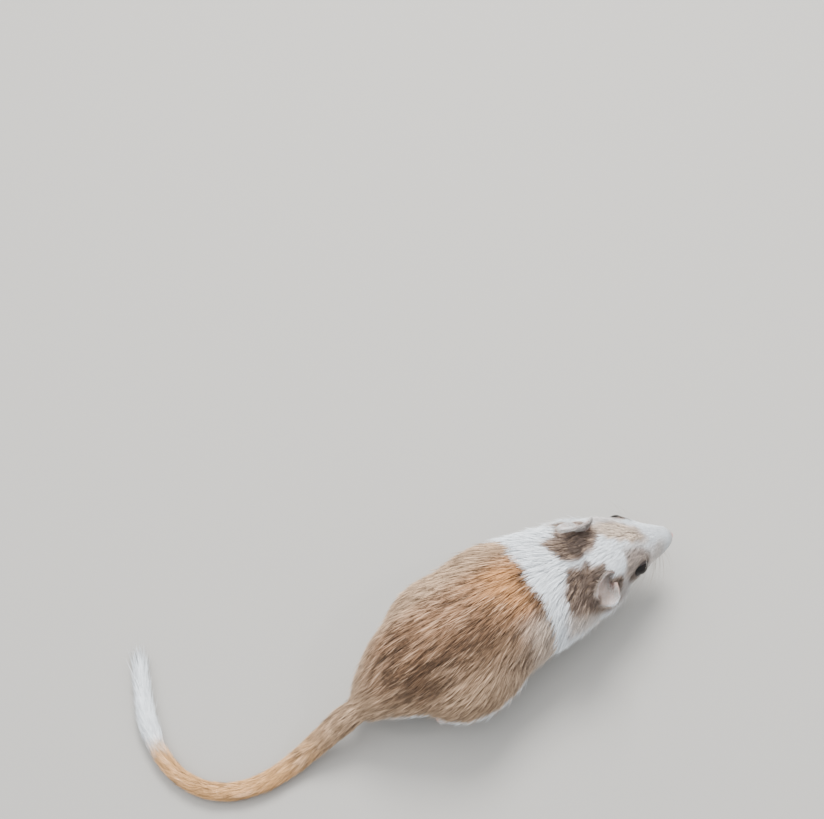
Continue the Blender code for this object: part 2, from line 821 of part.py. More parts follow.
def centred(parts):
    """Moves all the parts so that the middle of their footprint is at the origin."""
    points = np.array([vertex.co for part in parts for vertex in part.data.vertices])
    middle = (points.min(0) + points.max(0)) / 2
    for part in parts:
        part.data.transform(Matrix.Translation((-middle[0], -middle[1], 0)))


def main():
    for each in list(bpy.data.objects):
        bpy.data.objects.remove(each)
    for slot, (colour, roughness) in COLOURS.items():
        material(slot, colour, roughness)
    parts = make_hide_parts()
    slots = dict.fromkeys(parts, "coat_golden")
    slots["neck"] = slots["foreleg_left"] = slots["foreleg_right"] = "coat_white"
    for side, word in ((1, "left"), (-1, "right")):
        parts["ear_" + word] = ear("ear", side, parts["head"])
        slots["ear_" + word] = "skin_pink"
        parts["eye_" + word] = eye("eye", side)
        slots["eye_" + word] = "eye_black"
        parts["hindfoot_" + word] = hind_foot("foot", side)
        parts["forefoot_" + word] = fore_foot("foot", side)
        slots["hindfoot_" + word] = slots["forefoot_" + word] = "coat_white"
    half_cut = CUT / TAIL_LENGTH / 2
    for i, (low, high) in enumerate(zip(TAIL_CUTS, TAIL_CUTS[1:])):
        length = tail_length("tail", low + half_cut, high - half_cut, 10)
        parts[f"tail_{i + 1}"] = above_floor(length)
        slots[f"tail_{i + 1}"] = "coat_golden"
    parts["tail_brush"] = brush("brush", TAIL_CUTS[-1] + half_cut)
    slots["tail_brush"] = "coat_white"
    centred(parts.values())
    shelf = bpy.data.collections.new("gerbil")
    bpy.context.scene.collection.children.link(shelf)
    for name, part in parts.items():
        finished(part, name, slots[name])
        for group in list(part.users_collection):
            group.objects.unlink(part)
        shelf.objects.link(part)


main()
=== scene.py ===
"""The looks of a life-size pied Mongolian gerbil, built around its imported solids.

The animal's own frame, in metres, faces +X with its left side at +Y, its tail base near
X = 0 and the floor at Z = 0. Everything is modelled there and moved into the row frame
when its object is made. The coat is solid mesh: tapered tufts that follow its lie.
"""

import json
import math

import bmesh
import bpy
import numpy as np
from mathutils import Euler, Matrix, Vector
from mathutils.bvhtree import BVHTree
from mathutils.kdtree import KDTree

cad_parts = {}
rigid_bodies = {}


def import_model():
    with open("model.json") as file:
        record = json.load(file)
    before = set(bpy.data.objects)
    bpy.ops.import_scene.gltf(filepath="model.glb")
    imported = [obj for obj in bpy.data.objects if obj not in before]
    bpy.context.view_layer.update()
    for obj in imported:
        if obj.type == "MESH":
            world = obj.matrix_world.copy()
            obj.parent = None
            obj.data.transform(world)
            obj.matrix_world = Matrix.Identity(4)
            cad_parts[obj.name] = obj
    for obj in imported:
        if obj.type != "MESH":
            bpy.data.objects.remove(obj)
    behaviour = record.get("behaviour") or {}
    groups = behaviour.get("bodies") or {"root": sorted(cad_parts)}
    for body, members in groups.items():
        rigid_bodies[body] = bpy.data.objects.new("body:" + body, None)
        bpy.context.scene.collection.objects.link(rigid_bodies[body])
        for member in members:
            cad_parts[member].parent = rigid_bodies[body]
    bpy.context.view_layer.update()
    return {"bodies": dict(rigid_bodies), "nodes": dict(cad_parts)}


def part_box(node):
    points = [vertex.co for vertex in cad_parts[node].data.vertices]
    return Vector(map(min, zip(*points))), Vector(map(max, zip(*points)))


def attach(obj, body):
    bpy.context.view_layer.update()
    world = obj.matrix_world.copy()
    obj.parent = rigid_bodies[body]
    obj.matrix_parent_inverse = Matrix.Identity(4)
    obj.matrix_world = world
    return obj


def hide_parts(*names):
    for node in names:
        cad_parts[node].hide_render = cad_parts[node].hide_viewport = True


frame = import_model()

MM = 0.001
SEED = 11

# Sizes and places of the solids, in the animal's frame
HEAD_ROOT = Vector((0.0832, 0.0004, 0.0355))
HEAD_TURN = Euler((0, math.radians(20), math.radians(-8.2)))
EYE = Vector((0.0208, 0.0080, 0.0030))
EYE_LOOK = Vector((0.25, 0.92, 0.26)).normalized()
EYE_RADIUS = 0.0035
EYE_CORNER = Vector((0.0163, 0.0119, 0.0031))
LID_SPREAD = (math.radians(70), math.radians(56))
LID_STEPS = 64
NOSE_PAD = Vector((0.0407, 0, 0.0012))
TAIL_LENGTH = 0.118
TAIL_RADIUS = 0.0035
TAIL_ROOT_HEIGHT = 0.0165
TAIL_TURN = math.radians(-108)
TAIL_BEND = (0.24, 0.64)  # the share of the tail where its bend starts, and the bend's length
TAIL_FALL = (-0.02, 0.30)  # the same for its way down to the floor
TAIL_START = -0.06
TAIL_GIRTHS = (
    (TAIL_START, 1.95),
    (0, 1.66),
    (0.1, 1.42),
    (0.25, 1.14),
    (0.5, 1.0),
    (0.8, 0.92),
    (1, 0.8),
)
BRUSH_START = 0.77
BRUSH_CORE_END = 0.93
EAR_LENGTH = 0.0135
EAR_HALF_WIDTH = 0.0064
EAR_WALL = 0.0005
EAR_OUTLINE = ((0, 0.52), (0.25, 0.84), (0.5, 1.0), (0.75, 0.93), (1, 0.66))
EAR_CURL = ((0, 106), (0.25, 76), (0.5, 52), (0.75, 38), (1, 26))
EAR_SUNK = 0.0022
EAR_TIP_BACK = 0.0018
EAR_TIP_ROUND = 0.24
EAR_OPENING = 0.0022  # from an ear's root to the middle of its opening
EARS = {  # each ear's root, the way to its tip and the way that its opening looks
    1: (
        Vector((0.0020, 0.0068, 0.0098)),
        Vector((-0.78, 0.05, 0.54)).normalized(),
        Vector((0.25, 0.93, 0.27)),
    ),
    -1: (
        Vector((0.0042, -0.0120, 0.0062)),
        Vector((-0.72, -0.56, 0.34)).normalized(),
        Vector((0.22, -0.60, 0.74)),
    ),
}
LIPS = (
    (0.0372, 0.0000, -0.0085),
    (0.0362, 0.0016, -0.0080),
    (0.0342, 0.0036, -0.0072),
    (0.0318, 0.0052, -0.0062),
    (0.0292, 0.0066, -0.0056),
)
LIP_STEPS = 25
HEEL = Vector((0.0240, 0.0140, 0.0050))
WRIST = Vector((0.0815, 0.0095, 0.0048))

# The feet: the heel's place, a little behind its solid's, the turn out and the sizes. A toe has
# its place across, the shares of the foot where it starts and ends, its radius and its claw
FEET = {
    "hindfoot": {
        "heel": HEEL - Vector((0.004, 0, 0)),
        "turn": math.radians(7),
        "length": 0.0315,
        "width": 0.0066,
        "height": 0.0050,
        "toes": (
            (-0.95, 0.42, 0.76, 0.75, 1.4),
            (-0.52, 0.60, 0.92, 0.92, 2.0),
            (0.0, 0.62, 0.955, 0.95, 2.1),
            (0.52, 0.60, 0.925, 0.92, 2.0),
            (0.95, 0.46, 0.80, 0.80, 1.6),
        ),
    },
    "forefoot": {
        "heel": WRIST - Vector((0.003, 0, 0)),
        "turn": math.radians(4),
        "length": 0.0125,
        "width": 0.0062,
        "height": 0.0042,
        "toes": (
            (-0.90, 0.44, 0.84, 0.68, 1.4),
            (-0.32, 0.56, 0.93, 0.72, 1.6),
            (0.32, 0.56, 0.93, 0.72, 1.6),
            (0.90, 0.44, 0.84, 0.68, 1.4),
        ),
    },
}
SOLE_END = 0.72  # share of the foot that the sole takes up
SOLE_ROWS = (  # share of the foot, and the sole's width and height there
    (0.0, 0.34, 0.74),
    (0.07, 0.60, 1.0),
    (0.22, 0.72, 1.0),
    (0.42, 0.86, 0.82),
    (0.58, 1.0, 0.70),
    (0.68, 0.90, 0.55),
    (SOLE_END, 0.50, 0.30),
)

# The skin: its nodes, how far they swell to close the cuts between them, and its cell
LEGS = tuple(f"{leg}_{side}" for leg in ("foreleg", "hindleg") for side in ("left", "right"))
FLESH = ("head", "neck", "torso", *LEGS, "tail_1", "tail_2", "tail_3", "tail_4")
SWELL = 0.35 * MM
SKIN_CELL = 0.55 * MM

# The coat of each region: its depth, and its tufts' length, half width and number per mm2
COAT = {
    "head": (1.15, 3.4, 0.076, 13.5),
    "neck": (2.2, 6.4, 0.122, 7.0),
    "torso": (2.5, 8.6, 0.134, 6.3),
    "hindleg": (2.4, 7.8, 0.130, 6.6),
    "foreleg": (1.2, 3.6, 0.090, 8.0),
    "tail_near": (1.6, 6.4, 0.110, 8.2),
    "tail_far": (1.35, 5.6, 0.098, 8.6),
}
REGIONS = tuple(COAT)
CLUMP_SIZE = 15  # tufts that lean together into one lock
LOCK_LEAN = 0.68  # how far they lean, from 0 to 1 where their tips meet
LOCK_HALF_WIDTH = 0.55 * MM
LOCK_STRETCH = 0.5  # how much less a step along the body counts in choosing a lock
STREAK_LENGTH = 14 * MM
STREAK_PITCHES = (1.05 * MM, 4.2 * MM)
STREAK_SEED = 21
TUFT_BEND = 0.04  # how far tufts bend aside at random, as a share of their length
ROOT_SUNK = 0.25 * MM
LEAST_HEIGHT = 0.15 * MM  # over the floor
STRAY_SHARE, STRAY_LIFT = 0.07, 1.45  # tufts that stand out, and how much more they do
DARK_LOCKS = 0.20  # the share of the locks that are darker
DARKEST_TICK = 0.80
MOST_TUFTS = 19500  # in one piece, so that it stays under 200,000 triangles

# The collar's front edge over the back, in millimetres: its place, bow and backward lean
COLLAR_X = 65.4
COLLAR_BOW = 0.0045
COLLAR_LEAN = 0.05

# Ovals on the head, in millimetres and degrees: centre, half sizes, turn and softness
HEAD_SPOTS = {
    "right_back": ((-4.0, -10.2), (5.4, 6.8), 0, 0.35),
    "right_front": ((3.2, -13.2), (8.6, 6.8), 0, 0.35),
    "left_notch": ((-4.8, 12.2), (6.0, 3.0), 30, 0.35),
    "left_patch": ((-1.2, 7.0), (7.6, 8.0), 25, 0.35),
    "comma": ((8.6, -6.6), (4.4, 4.2), 0, 0.35),
    "eye_tan": ((18.0, -8.6), (7.2, 4.8), 0, 1.0),
    "left_eye_tan": ((14.5, 9.0), (6.0, 3.6), 0, 0.7),
    "cheek_tan": ((11.5, -14.0), (6.0, 4.2), 0, 1.0),
    "peach": ((15.0, 2.2), (9.5, 3.4), -20, 0.8),
    "throat": ((-3.0, -19.0), (9.0, 6.0), 0, 0.9),
    # painted shade: a soft peach-grey wash on the muzzle's lower right side, where shade falls
    "muzzle_side_shade": ((30.0, -7.5), (6.5, 4.0), 20, 1.2),
}

# The camera: the photograph's focal length, frame and aim
PHOTO_WIDTH, PHOTO_HEIGHT = 824, 819
FOCAL_PIXELS = 1300
CAMERA_ELEVATION = math.radians(62)
CAMERA_AZIMUTH = math.radians(-31.3)
AIM_POINT = Vector((0.050, 0, 0.027))
AIM_PIXEL = (492, 620)
AIM_DEPTH = 0.441
SENSOR_WIDTH = 36

# The stage: the lamps' places, aims, sizes, powers and colours, and an even sun and sky
LAMPS = {
    "key": ((0.30, 0.42, 0.80), (0, 0, 0.02), 0.40, 14.5, (1.0, 0.985, 0.96)),
    "glint": ((0.45, -0.35, 0.75), (0.1, 0, 0.03), 0.07, 1.0, (1, 1, 1)),
}
SUN_WAY = Vector((-0.20, 0.28, 1.0))
SUN_POWER = 2.5
SUN_ANGLE = math.radians(55)
SKY_COLOUR = (0.95, 0.97, 1.0, 1)
SKY_POWER = 1.12
FLOOR_COLOUR = (163, 161, 157)
FLOOR_SIZE = 9.0

random = np.random.default_rng(SEED)


# Places


def mirrored(point, side):
    """The left-hand place seen on the left (side 1) or on the right (side -1)."""
    return Vector((point[0], side * point[1], point[2]))


def head_place():
    """The matrix from the head's own frame to the animal's."""
    return Matrix.Translation(HEAD_ROOT) @ HEAD_TURN.to_matrix().to_4x4()


def to_row_frame():
    """The step from the animal's frame to the row frame, read from where the left eye is."""
    low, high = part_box("eye_left")
    return (low + high) / 2 - head_place() @ EYE


TO_ROW = to_row_frame()
HEAD = np.array(head_place())
HEAD_BACK = np.array(head_place().inverted())


def moved(points, matrix):
    """The points, taken through a 4 x 4 matrix."""
    return points @ matrix[:3, :3].T + matrix[:3, 3]


def in_head(points):
    """The points of the animal's frame, in the head's own frame."""
    return moved(points, HEAD_BACK)


def from_eye(head, side):
    """How far each place of the head's frame is from an eye's centre, all in millimetres."""
    return np.linalg.norm(head - np.array(mirrored(EYE, side)) / MM, axis=1)


def share_of(weights, *regions):
    """How much of the named regions each row of weights is."""
    return sum(weights[:, REGIONS.index(region)] for region in regions)


def rise(value, low, high):
    """0 below low, 1 above high and smooth between them; falls where low is above high."""
    t = np.clip((value - low) / (high - low), 0, 1)
    return t * t * (3 - 2 * t)


def between(rows, places):
    """Smooth values at the places, through rows of (key, value, value, ...)."""
    rows = np.array(rows, float)
    keys, values = rows[:, 0], rows[:, 1:]
    slopes = np.gradient(values, keys, axis=0)
    places = np.atleast_1d(np.asarray(places, float))
    low = np.clip(np.searchsorted(keys, places) - 1, 0, len(keys) - 2)
    width = (keys[low + 1] - keys[low])[:, None]
    t = (places[:, None] - keys[low][:, None]) / width
    return (
        (1 + 2 * t) * (1 - t) ** 2 * values[low]
        + t * (1 - t) ** 2 * width * slopes[low]
        + t**2 * (3 - 2 * t) * values[low + 1]
        + t**2 * (t - 1) * width * slopes[low + 1]
    )


def unit(vectors):
    """The vectors at length 1."""
    return vectors / np.maximum(np.linalg.norm(vectors, axis=-1, keepdims=True), 1e-12)


def wobble(points, pitch, seed):
    """Smooth noise from about -1 to 1 over the points, with waves about pitch long."""
    draw = np.random.default_rng(seed)
    total = np.zeros(len(points))
    for _ in range(7):
        wave = draw.normal(size=3)
        wave = wave / np.linalg.norm(wave) * (2 * math.pi / pitch) * draw.uniform(0.6, 1.5)
        total += np.sin(points @ wave + draw.uniform(0, 2 * math.pi))
    return total / 3


def tail_line(count=160):
    """Shares of the tail's length, points along its middle and its radii over the fur."""
    shares = np.linspace(TAIL_START, 1, count)
    step = TAIL_LENGTH * (shares[1] - shares[0])
    heading = math.pi + 0.09 * np.sin(math.pi * np.clip(shares / 0.5, 0, 1))
    heading = heading + TAIL_TURN * rise((shares - TAIL_BEND[0]) / TAIL_BEND[1], 0, 1)
    x = np.cumsum(np.cos(heading)) * step
    y = np.cumsum(np.sin(heading)) * step
    radii = TAIL_RADIUS * between(TAIL_GIRTHS, shares)[:, 0]
    lying = 0.93 * radii
    fall = 1 - rise((shares - TAIL_FALL[0]) / TAIL_FALL[1], 0, 1)
    z = lying + (TAIL_ROOT_HEIGHT - lying) * fall
    start = np.argmin(np.abs(shares))
    return shares, np.stack([x - x[start], y - y[start], z], 1), radii


TAIL_SHARES, TAIL_POINTS, TAIL_RADII = tail_line()


def on_tail(points):
    """For each point: the nearest share of the tail, the tail's middle there and its way."""
    apart = np.linalg.norm(points[:, None] - TAIL_POINTS[None, ::2], axis=2)
    at = np.clip(apart.argmin(1) * 2, 1, len(TAIL_POINTS) - 2)
    return TAIL_SHARES[at], TAIL_POINTS[at], unit(TAIL_POINTS[at + 1] - TAIL_POINTS[at - 1])


# Mesh tools


def linked(name, data):
    """A new object of the data, in the scene."""
    made = bpy.data.objects.new(name, data)
    bpy.context.scene.collection.objects.link(made)
    return made


def placed(name, mesh, finish):
    """An object of the mesh, moved into the row frame, riding on the body."""
    mesh.name = name
    mesh.transform(Matrix.Translation(TO_ROW))
    mesh.materials.clear()
    mesh.materials.append(finish)
    made = linked(name, mesh)
    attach(made, next(iter(frame["bodies"])))
    return made


def mesh_of(bm):
    """A mesh that holds the bmesh, faces outwards and shaded smooth."""
    bmesh.ops.recalc_face_normals(bm, faces=bm.faces)
    mesh = bpy.data.meshes.new("made")
    bm.to_mesh(mesh)
    bm.free()
    mesh.shade_smooth()
    return mesh


def evaluated(mesh, **modifiers):
    """The mesh after modifiers, each given as TYPE=dict of its settings."""
    holder = linked("holder", mesh)
    for kind, settings in modifiers.items():
        modifier = holder.modifiers.new(kind, kind)
        for key, value in settings.items():
            setattr(modifier, key, value)
    bpy.context.view_layer.update()
    graph = bpy.context.evaluated_depsgraph_get()
    result = bpy.data.meshes.new_from_object(holder.evaluated_get(graph))
    bpy.data.objects.remove(holder)
    return result


def bridge(bm, row, following, closed=True):
    """Adds the faces between two rows of vertices."""
    for i in range(len(row) if closed else len(row) - 1):
        j = (i + 1) % len(row)
        bm.faces.new((row[i], row[j], following[j], following[i]))


def swept(bm, centres, widths, heights, sides=10, up=Vector((0, 0, 1))):
    """Adds a closed tube along the centres, with oval sections that lie flat across up."""
    centres = [Vector(c) for c in centres]
    rows = []
    for i, centre in enumerate(centres):
        along = centres[min(i + 1, len(centres) - 1)] - centres[max(i - 1, 0)]
        across = up.cross(along).normalized()
        over = along.cross(across).normalized()
        row = []
        for k in range(sides):
            angle = 2 * math.pi * k / sides
            out = across * (widths[i] * math.cos(angle))
            row.append(bm.verts.new(centre + out + over * (heights[i] * math.sin(angle))))
        rows.append(row)
    for row, following in zip(rows, rows[1:]):
        bridge(bm, row, following)
    for row in (rows[0], rows[-1]):
        middle = bm.verts.new(sum((v.co for v in row), Vector()) / sides)
        for i in range(sides):
            bm.faces.new((row[i], row[(i + 1) % sides], middle))


def ball(bm, centre, radii, segments=32, rings=20):
    """Adds a closed ellipsoid."""
    matrix = Matrix.Translation(centre) @ Matrix.Diagonal((*radii, 1))
    bmesh.ops.create_uvsphere(
        bm, u_segments=segments, v_segments=rings, radius=1, matrix=matrix
    )


def read(items, key, width, kind=np.float32):
    """A row of width numbers for each item of a mesh, such as its vertices' places."""
    found = np.empty(len(items) * width, kind)
    items.foreach_get(key, found)
    return found.reshape(-1, width)


def points_of(mesh):
    return read(mesh.vertices, "co", 3).astype(float)


def set_points(mesh, points):
    mesh.vertices.foreach_set("co", points.astype(np.float32).ravel())
    mesh.update()


def normals_of(mesh):
    return read(mesh.vertex_normals, "vector", 3).astype(float)


def edges_of(mesh):
    return read(mesh.edges, "vertices", 2, np.int32)


def relaxed(values, edges, rounds, share=0.5):
    """The values of a mesh's vertices, drawn towards their neighbours' mean."""
    count = np.bincount(edges.ravel(), minlength=len(values))[:, None]
    start, end = edges.T
    for _ in range(rounds):
        total = np.zeros_like(values)
        for k in range(values.shape[1]):
            total[:, k] = np.bincount(start, values[end, k], len(values))
            total[:, k] += np.bincount(end, values[start, k], len(values))
        values = values * (1 - share) + share * total / np.maximum(count, 1)
    return values


def give(mesh, name, values):
    """Writes up to four values for each vertex as a named attribute."""
    rows = np.zeros((len(values), 4), np.float32)
    rows[:, : values.shape[1]] = values
    mesh.attributes.new(name, "FLOAT_COLOR", "POINT").data.foreach_set("color", rows.ravel())


# Markings: the weights of each colour, by place in the animal's and the head's frames, with a
# painted shade on the muzzle's side


def spot(head, centre, radii, turn, soft):
    """1 inside an oval on top of the head and 0 outside; millimetres in the head's frame."""
    turn = math.radians(turn)
    x, y = head[:, 0] - centre[0], head[:, 1] - centre[1]
    along = (x * math.cos(turn) + y * math.sin(turn)) / radii[0]
    across = (y * math.cos(turn) - x * math.sin(turn)) / radii[1]
    return rise(np.hypot(along, across), 1 + soft / 2, 1 - soft / 2)


def markings(points):
    """Two rows of weights for each point: white, brown, warm, pale; peach, band, grey, tail. The
    peach also holds painted shade on the muzzle's side.
    """
    mm = points / MM
    x, y, z = mm.T
    ragged = wobble(points, 0.006, 1) * 0.5 + wobble(points, 0.0022, 2) * 0.35
    head = in_head(points) / MM
    waved = head + np.stack([ragged, wobble(points, 0.004, 3) * 0.5, 0 * x], 1)
    on_head = rise(x, 68, 72)
    brown, grey_brown, eye_tan, peach = (m * on_head for m in head_markings(head, waved))
    wave = wobble(points, 0.016, 4)
    share, _, _ = on_tail(points)

    collar = COLLAR_X - COLLAR_BOW * (y - 4) ** 2 - COLLAR_LEAN * np.maximum(30 - z, 0)
    collar_side = x - collar + 0.8 * ragged + 0.9 * wave
    ahead = rise(collar_side, -0.7, 0.7)
    below = rise(z + 2.2 * ragged + 1.6 * wave, 21.5, 16.5) * rise(x, 2, 14)
    chest = rise(z + 1.5 * ragged, 20, 14) * rise(x, 46, 58)
    tail_white = rise(share + 0.02 * ragged, 0.67, 0.76) * rise(x, -20, -40)
    shoulder = rise(y + ragged, -6, -14) * rise(x + 3 * ragged, 50, 61)
    white = np.maximum.reduce([ahead, below, chest, tail_white, 0.38 * shoulder])

    brown = np.maximum(brown, 0.75 * eye_line(points + 0.2 * MM * ragged[:, None]))
    peach = np.maximum(peach, 0.55 * shoulder * (1 - ahead))
    white = white * (1 - np.maximum(brown, 0.8 * eye_tan)) * (1 - 0.85 * peach)

    warm = np.exp(-(((x - 58 + 3 * ragged) / 10) ** 2)) * rise(np.abs(y - 5) + 2 * ragged, 16, 4)
    border = np.exp(-(((collar_side + 1.9) / 1.8) ** 2)) * rise(y, 9, -3) * rise(z, 26, 36)
    band = np.exp(-(((y + 7.5 + 0.8 * ragged) / 6.5) ** 2)) * rise(x, 4, 14) * rise(x, 60, 42)
    rump = np.exp(-(((y - 2) / 9) ** 2)) * rise(x, 32, 16) * rise(x, -2, 12) * 0.5
    band = np.maximum(np.maximum(band, rump) * rise(z, 24, 36), border)
    pale = np.maximum(rise(np.abs(y - 1) + 1.6 * ragged, 6, 21), rise(z + 2 * ragged, 40, 22))
    pale = np.maximum(pale, rise(x, 12, 0) * 0.35)
    pale = np.maximum(pale, rise(y, 8, 16))
    grey = rise(y, -11, -18) * rise(x, 30, 50) * 0.35 * (1 - white)
    grey = np.maximum(grey, grey_brown * 0.8)
    tail = rise(share + 0.03 * ragged, 0.04, 0.34) * rise(x, 2, -6)
    pale = np.maximum(pale, 0.9 * rise(x, 2, -6))
    first = np.stack([white, brown, warm, pale], 1)
    second = np.stack([peach, band, np.maximum(grey, eye_tan), tail], 1)
    return np.clip(first, 0, 1), np.clip(second, 0, 1)


def head_markings(head, waved):
    """The weights of brown, grey-brown, tan and peach, by true and by waved places; the peach
    also holds a painted shade on the muzzle's lower right side.
    """
    x, y, z = head.T
    spots = {name: spot(waved, *oval) for name, oval in HEAD_SPOTS.items()}
    fade = rise(z, -7, -2)
    uncut = 1 - spots["comma"]
    right = np.maximum(spots["right_back"], spots["right_front"]) * fade * uncut
    left = spots["left_patch"] * fade * (1 - spots["left_notch"])
    grey_brown = spots["right_front"] * (1 - spots["right_back"]) * fade * uncut
    by_eye = spots["eye_tan"] * rise(z, -3, 1) * 0.75
    by_left_eye = spots["left_eye_tan"] * rise(z, -3, 1) * 0.35
    cheek = spots["cheek_tan"] * rise(z, -8, -2) * 0.42
    eye_tan = np.maximum(np.maximum(by_eye, cheek) * uncut, by_left_eye)
    blaze = spots["peach"] * rise(z, 2, 6)
    snout = rise(x + 0.5 * np.abs(y), 37, 42) * 0.15
    throat = spots["throat"] * rise(z, -16, -8) * 0.4
    # the spot on the muzzle's side is painted shade, mixed in as peach
    peach = np.maximum.reduce([blaze, snout, throat, spots["muzzle_side_shade"] * 0.32])
    return np.maximum(right, left), grey_brown, eye_tan, peach


def eye_line(points):
    """1 in the dark fur round each eye and out to its rear corner, and 0 elsewhere."""
    head = in_head(points)
    dark = np.zeros(len(points))
    for side in (1, -1):
        off = head - np.array(mirrored(EYE, side))
        corner = np.array(mirrored(EYE_CORNER - EYE, side))
        share = np.clip(off @ corner / (corner @ corner), 0, 1)
        aside = np.linalg.norm(off - share[:, None] * corner, axis=1) / MM
        wedge = rise(aside / (2.3 - 1.1 * share), 1.3, 0.8)
        ring = 0.8 * rise(np.linalg.norm(off, axis=1) / EYE_RADIUS, 1.42, 1.18)
        dark = np.maximum(dark, np.maximum(ring, wedge * rise(share, 0.4, 0.6)))
    return dark


def eye_rim(points):
    """1 on the bare rim of skin round each eye, and 0 elsewhere."""
    head = in_head(points)
    aways = [np.linalg.norm(head - np.array(mirrored(EYE, side)), axis=1) for side in (1, -1)]
    return rise(np.minimum(*aways) / EYE_RADIUS, 1.20, 1.10)


# Skin


def flesh():
    """The flesh nodes swollen until they meet, with the sockets filled and the tail's end."""
    bm = bmesh.new()
    for node in FLESH:
        bm.from_mesh(frame["nodes"][node].data)
    bmesh.ops.remove_doubles(bm, verts=bm.verts, dist=1e-6)
    bmesh.ops.translate(bm, vec=-TO_ROW, verts=bm.verts)
    mesh = evaluated(mesh_of(bm), DISPLACE={"strength": SWELL, "mid_level": 0})
    bm = bmesh.new()
    bm.from_mesh(mesh)
    for side in (1, -1):
        socket = EYE_RADIUS * 0.97
        ball(bm, head_place() @ mirrored(EYE, side), (socket,) * 3)
    last = (TAIL_SHARES > BRUSH_START - 0.06) & (TAIL_SHARES < BRUSH_CORE_END)
    beyond = np.clip((TAIL_SHARES[last] - BRUSH_START) / (1 - BRUSH_START), 0, 1)
    girths = TAIL_RADII[last] * (0.98 - 0.62 * beyond**0.6) + SWELL
    swept(bm, TAIL_POINTS[last], girths, girths, sides=20)
    remesh = {"mode": "VOXEL", "voxel_size": SKIN_CELL}
    return evaluated(mesh_of(bm), REMESH=remesh)


def region_weights(points, edges):
    """How much of each region every skin vertex is, from the nearest solid, made smooth."""
    groups = {"foreleg": "foreleg", "hindleg": "hindleg", "tail_1": "tail_near"}
    labels = []
    places = []
    for node in FLESH:
        found = points_of(frame["nodes"][node].data)
        family = groups.get(node.split("_")[0], groups.get(node, node))
        family = "tail_far" if family.startswith("tail_") and family != "tail_near" else family
        places.append(found - np.array(TO_ROW))
        labels += [REGIONS.index(family)] * len(found)
    places = np.concatenate(places)
    tree = KDTree(len(places))
    for i, place in enumerate(places):
        tree.insert(place, i)
    tree.balance()
    nearest = np.array([labels[tree.find(p)[1]] for p in points])
    weights = relaxed(np.eye(len(REGIONS))[nearest], edges, 24)
    body, tail = REGIONS.index("torso"), REGIONS.index("tail_near")
    behind = points[:, 0] < 8 * MM
    both = weights[:, body] + weights[:, tail]
    share = rise(points[:, 0] / MM, 8, -9)
    weights[behind, tail] = (both * share)[behind]
    weights[behind, body] = (both * (1 - share))[behind]
    return weights


def coat_depth(points, weights):
    """How far the skin lies below the tips of the coat."""
    depth = weights @ np.array([COAT[r][0] for r in REGIONS]) * MM
    head = in_head(points) / MM
    muzzle = rise(head[:, 0], 40, 14)
    low_face = 0.32 + 0.68 * muzzle
    depth = depth * np.where(weights[:, 0] > 0.5, low_face, 1)
    for side in (1, -1):
        depth = depth * (0.34 + 0.66 * rise(from_eye(head, side), 4.2, 8.5))
    feet = 0.35 + 0.65 * rise(points[:, 2] / MM, 4.5, 9)
    depth = depth * np.where(share_of(weights, "foreleg", "hindleg") > 0.3, feet, 1)
    share, _, _ = on_tail(points)
    tip = 1 - 0.60 * rise(share, 0.74, 0.82) * rise(points[:, 0], -0.02, -0.05)
    return depth * tip


def make_skin():
    """The skin's mesh in the animal's frame, and its regions' weights and coat depth."""
    mesh = flesh()
    edges = edges_of(mesh)
    points = relaxed(points_of(mesh), edges, 4)
    set_points(mesh, points)
    weights = region_weights(points, edges)
    depth = relaxed(coat_depth(points, weights)[:, None], edges, 10)[:, 0]
    steps = 5
    for _ in range(steps):
        points = points - normals_of(mesh) * (depth / steps + SWELL / steps)[:, None]
        points = relaxed(points, edges, 1)
        set_points(mesh, points)
    return mesh, weights, depth


# Coat


def roots_on(mesh, density, keep):
    """Random places on the mesh: their triangles' vertices and shares of each, by density."""
    mesh.calc_loop_triangles()
    corners = read(mesh.loop_triangles, "vertices", 3, np.int32)
    points = points_of(mesh)
    a, b, c = (points[corners[:, k]] for k in range(3))
    area = np.linalg.norm(np.cross(b - a, c - a), axis=1) / 2 / MM**2
    wanted = area * density[corners].mean(1) * keep
    count = int(wanted.sum())
    total = np.cumsum(wanted)
    picks = (np.arange(count) + random.uniform(0, 1, count)) * total[-1] / count
    chosen = np.searchsorted(total, picks).clip(0, len(corners) - 1)
    u, v = random.uniform(0, 1, (2, count))
    flip = u + v > 1
    u, v = np.where(flip, 1 - u, u), np.where(flip, 1 - v, v)
    return corners[chosen], np.stack([1 - u - v, u, v], 1)


def mixed(values, corners, shares):
    """Vertex values at the roots."""
    return np.einsum("nk,nk...->n...", shares, values[corners])


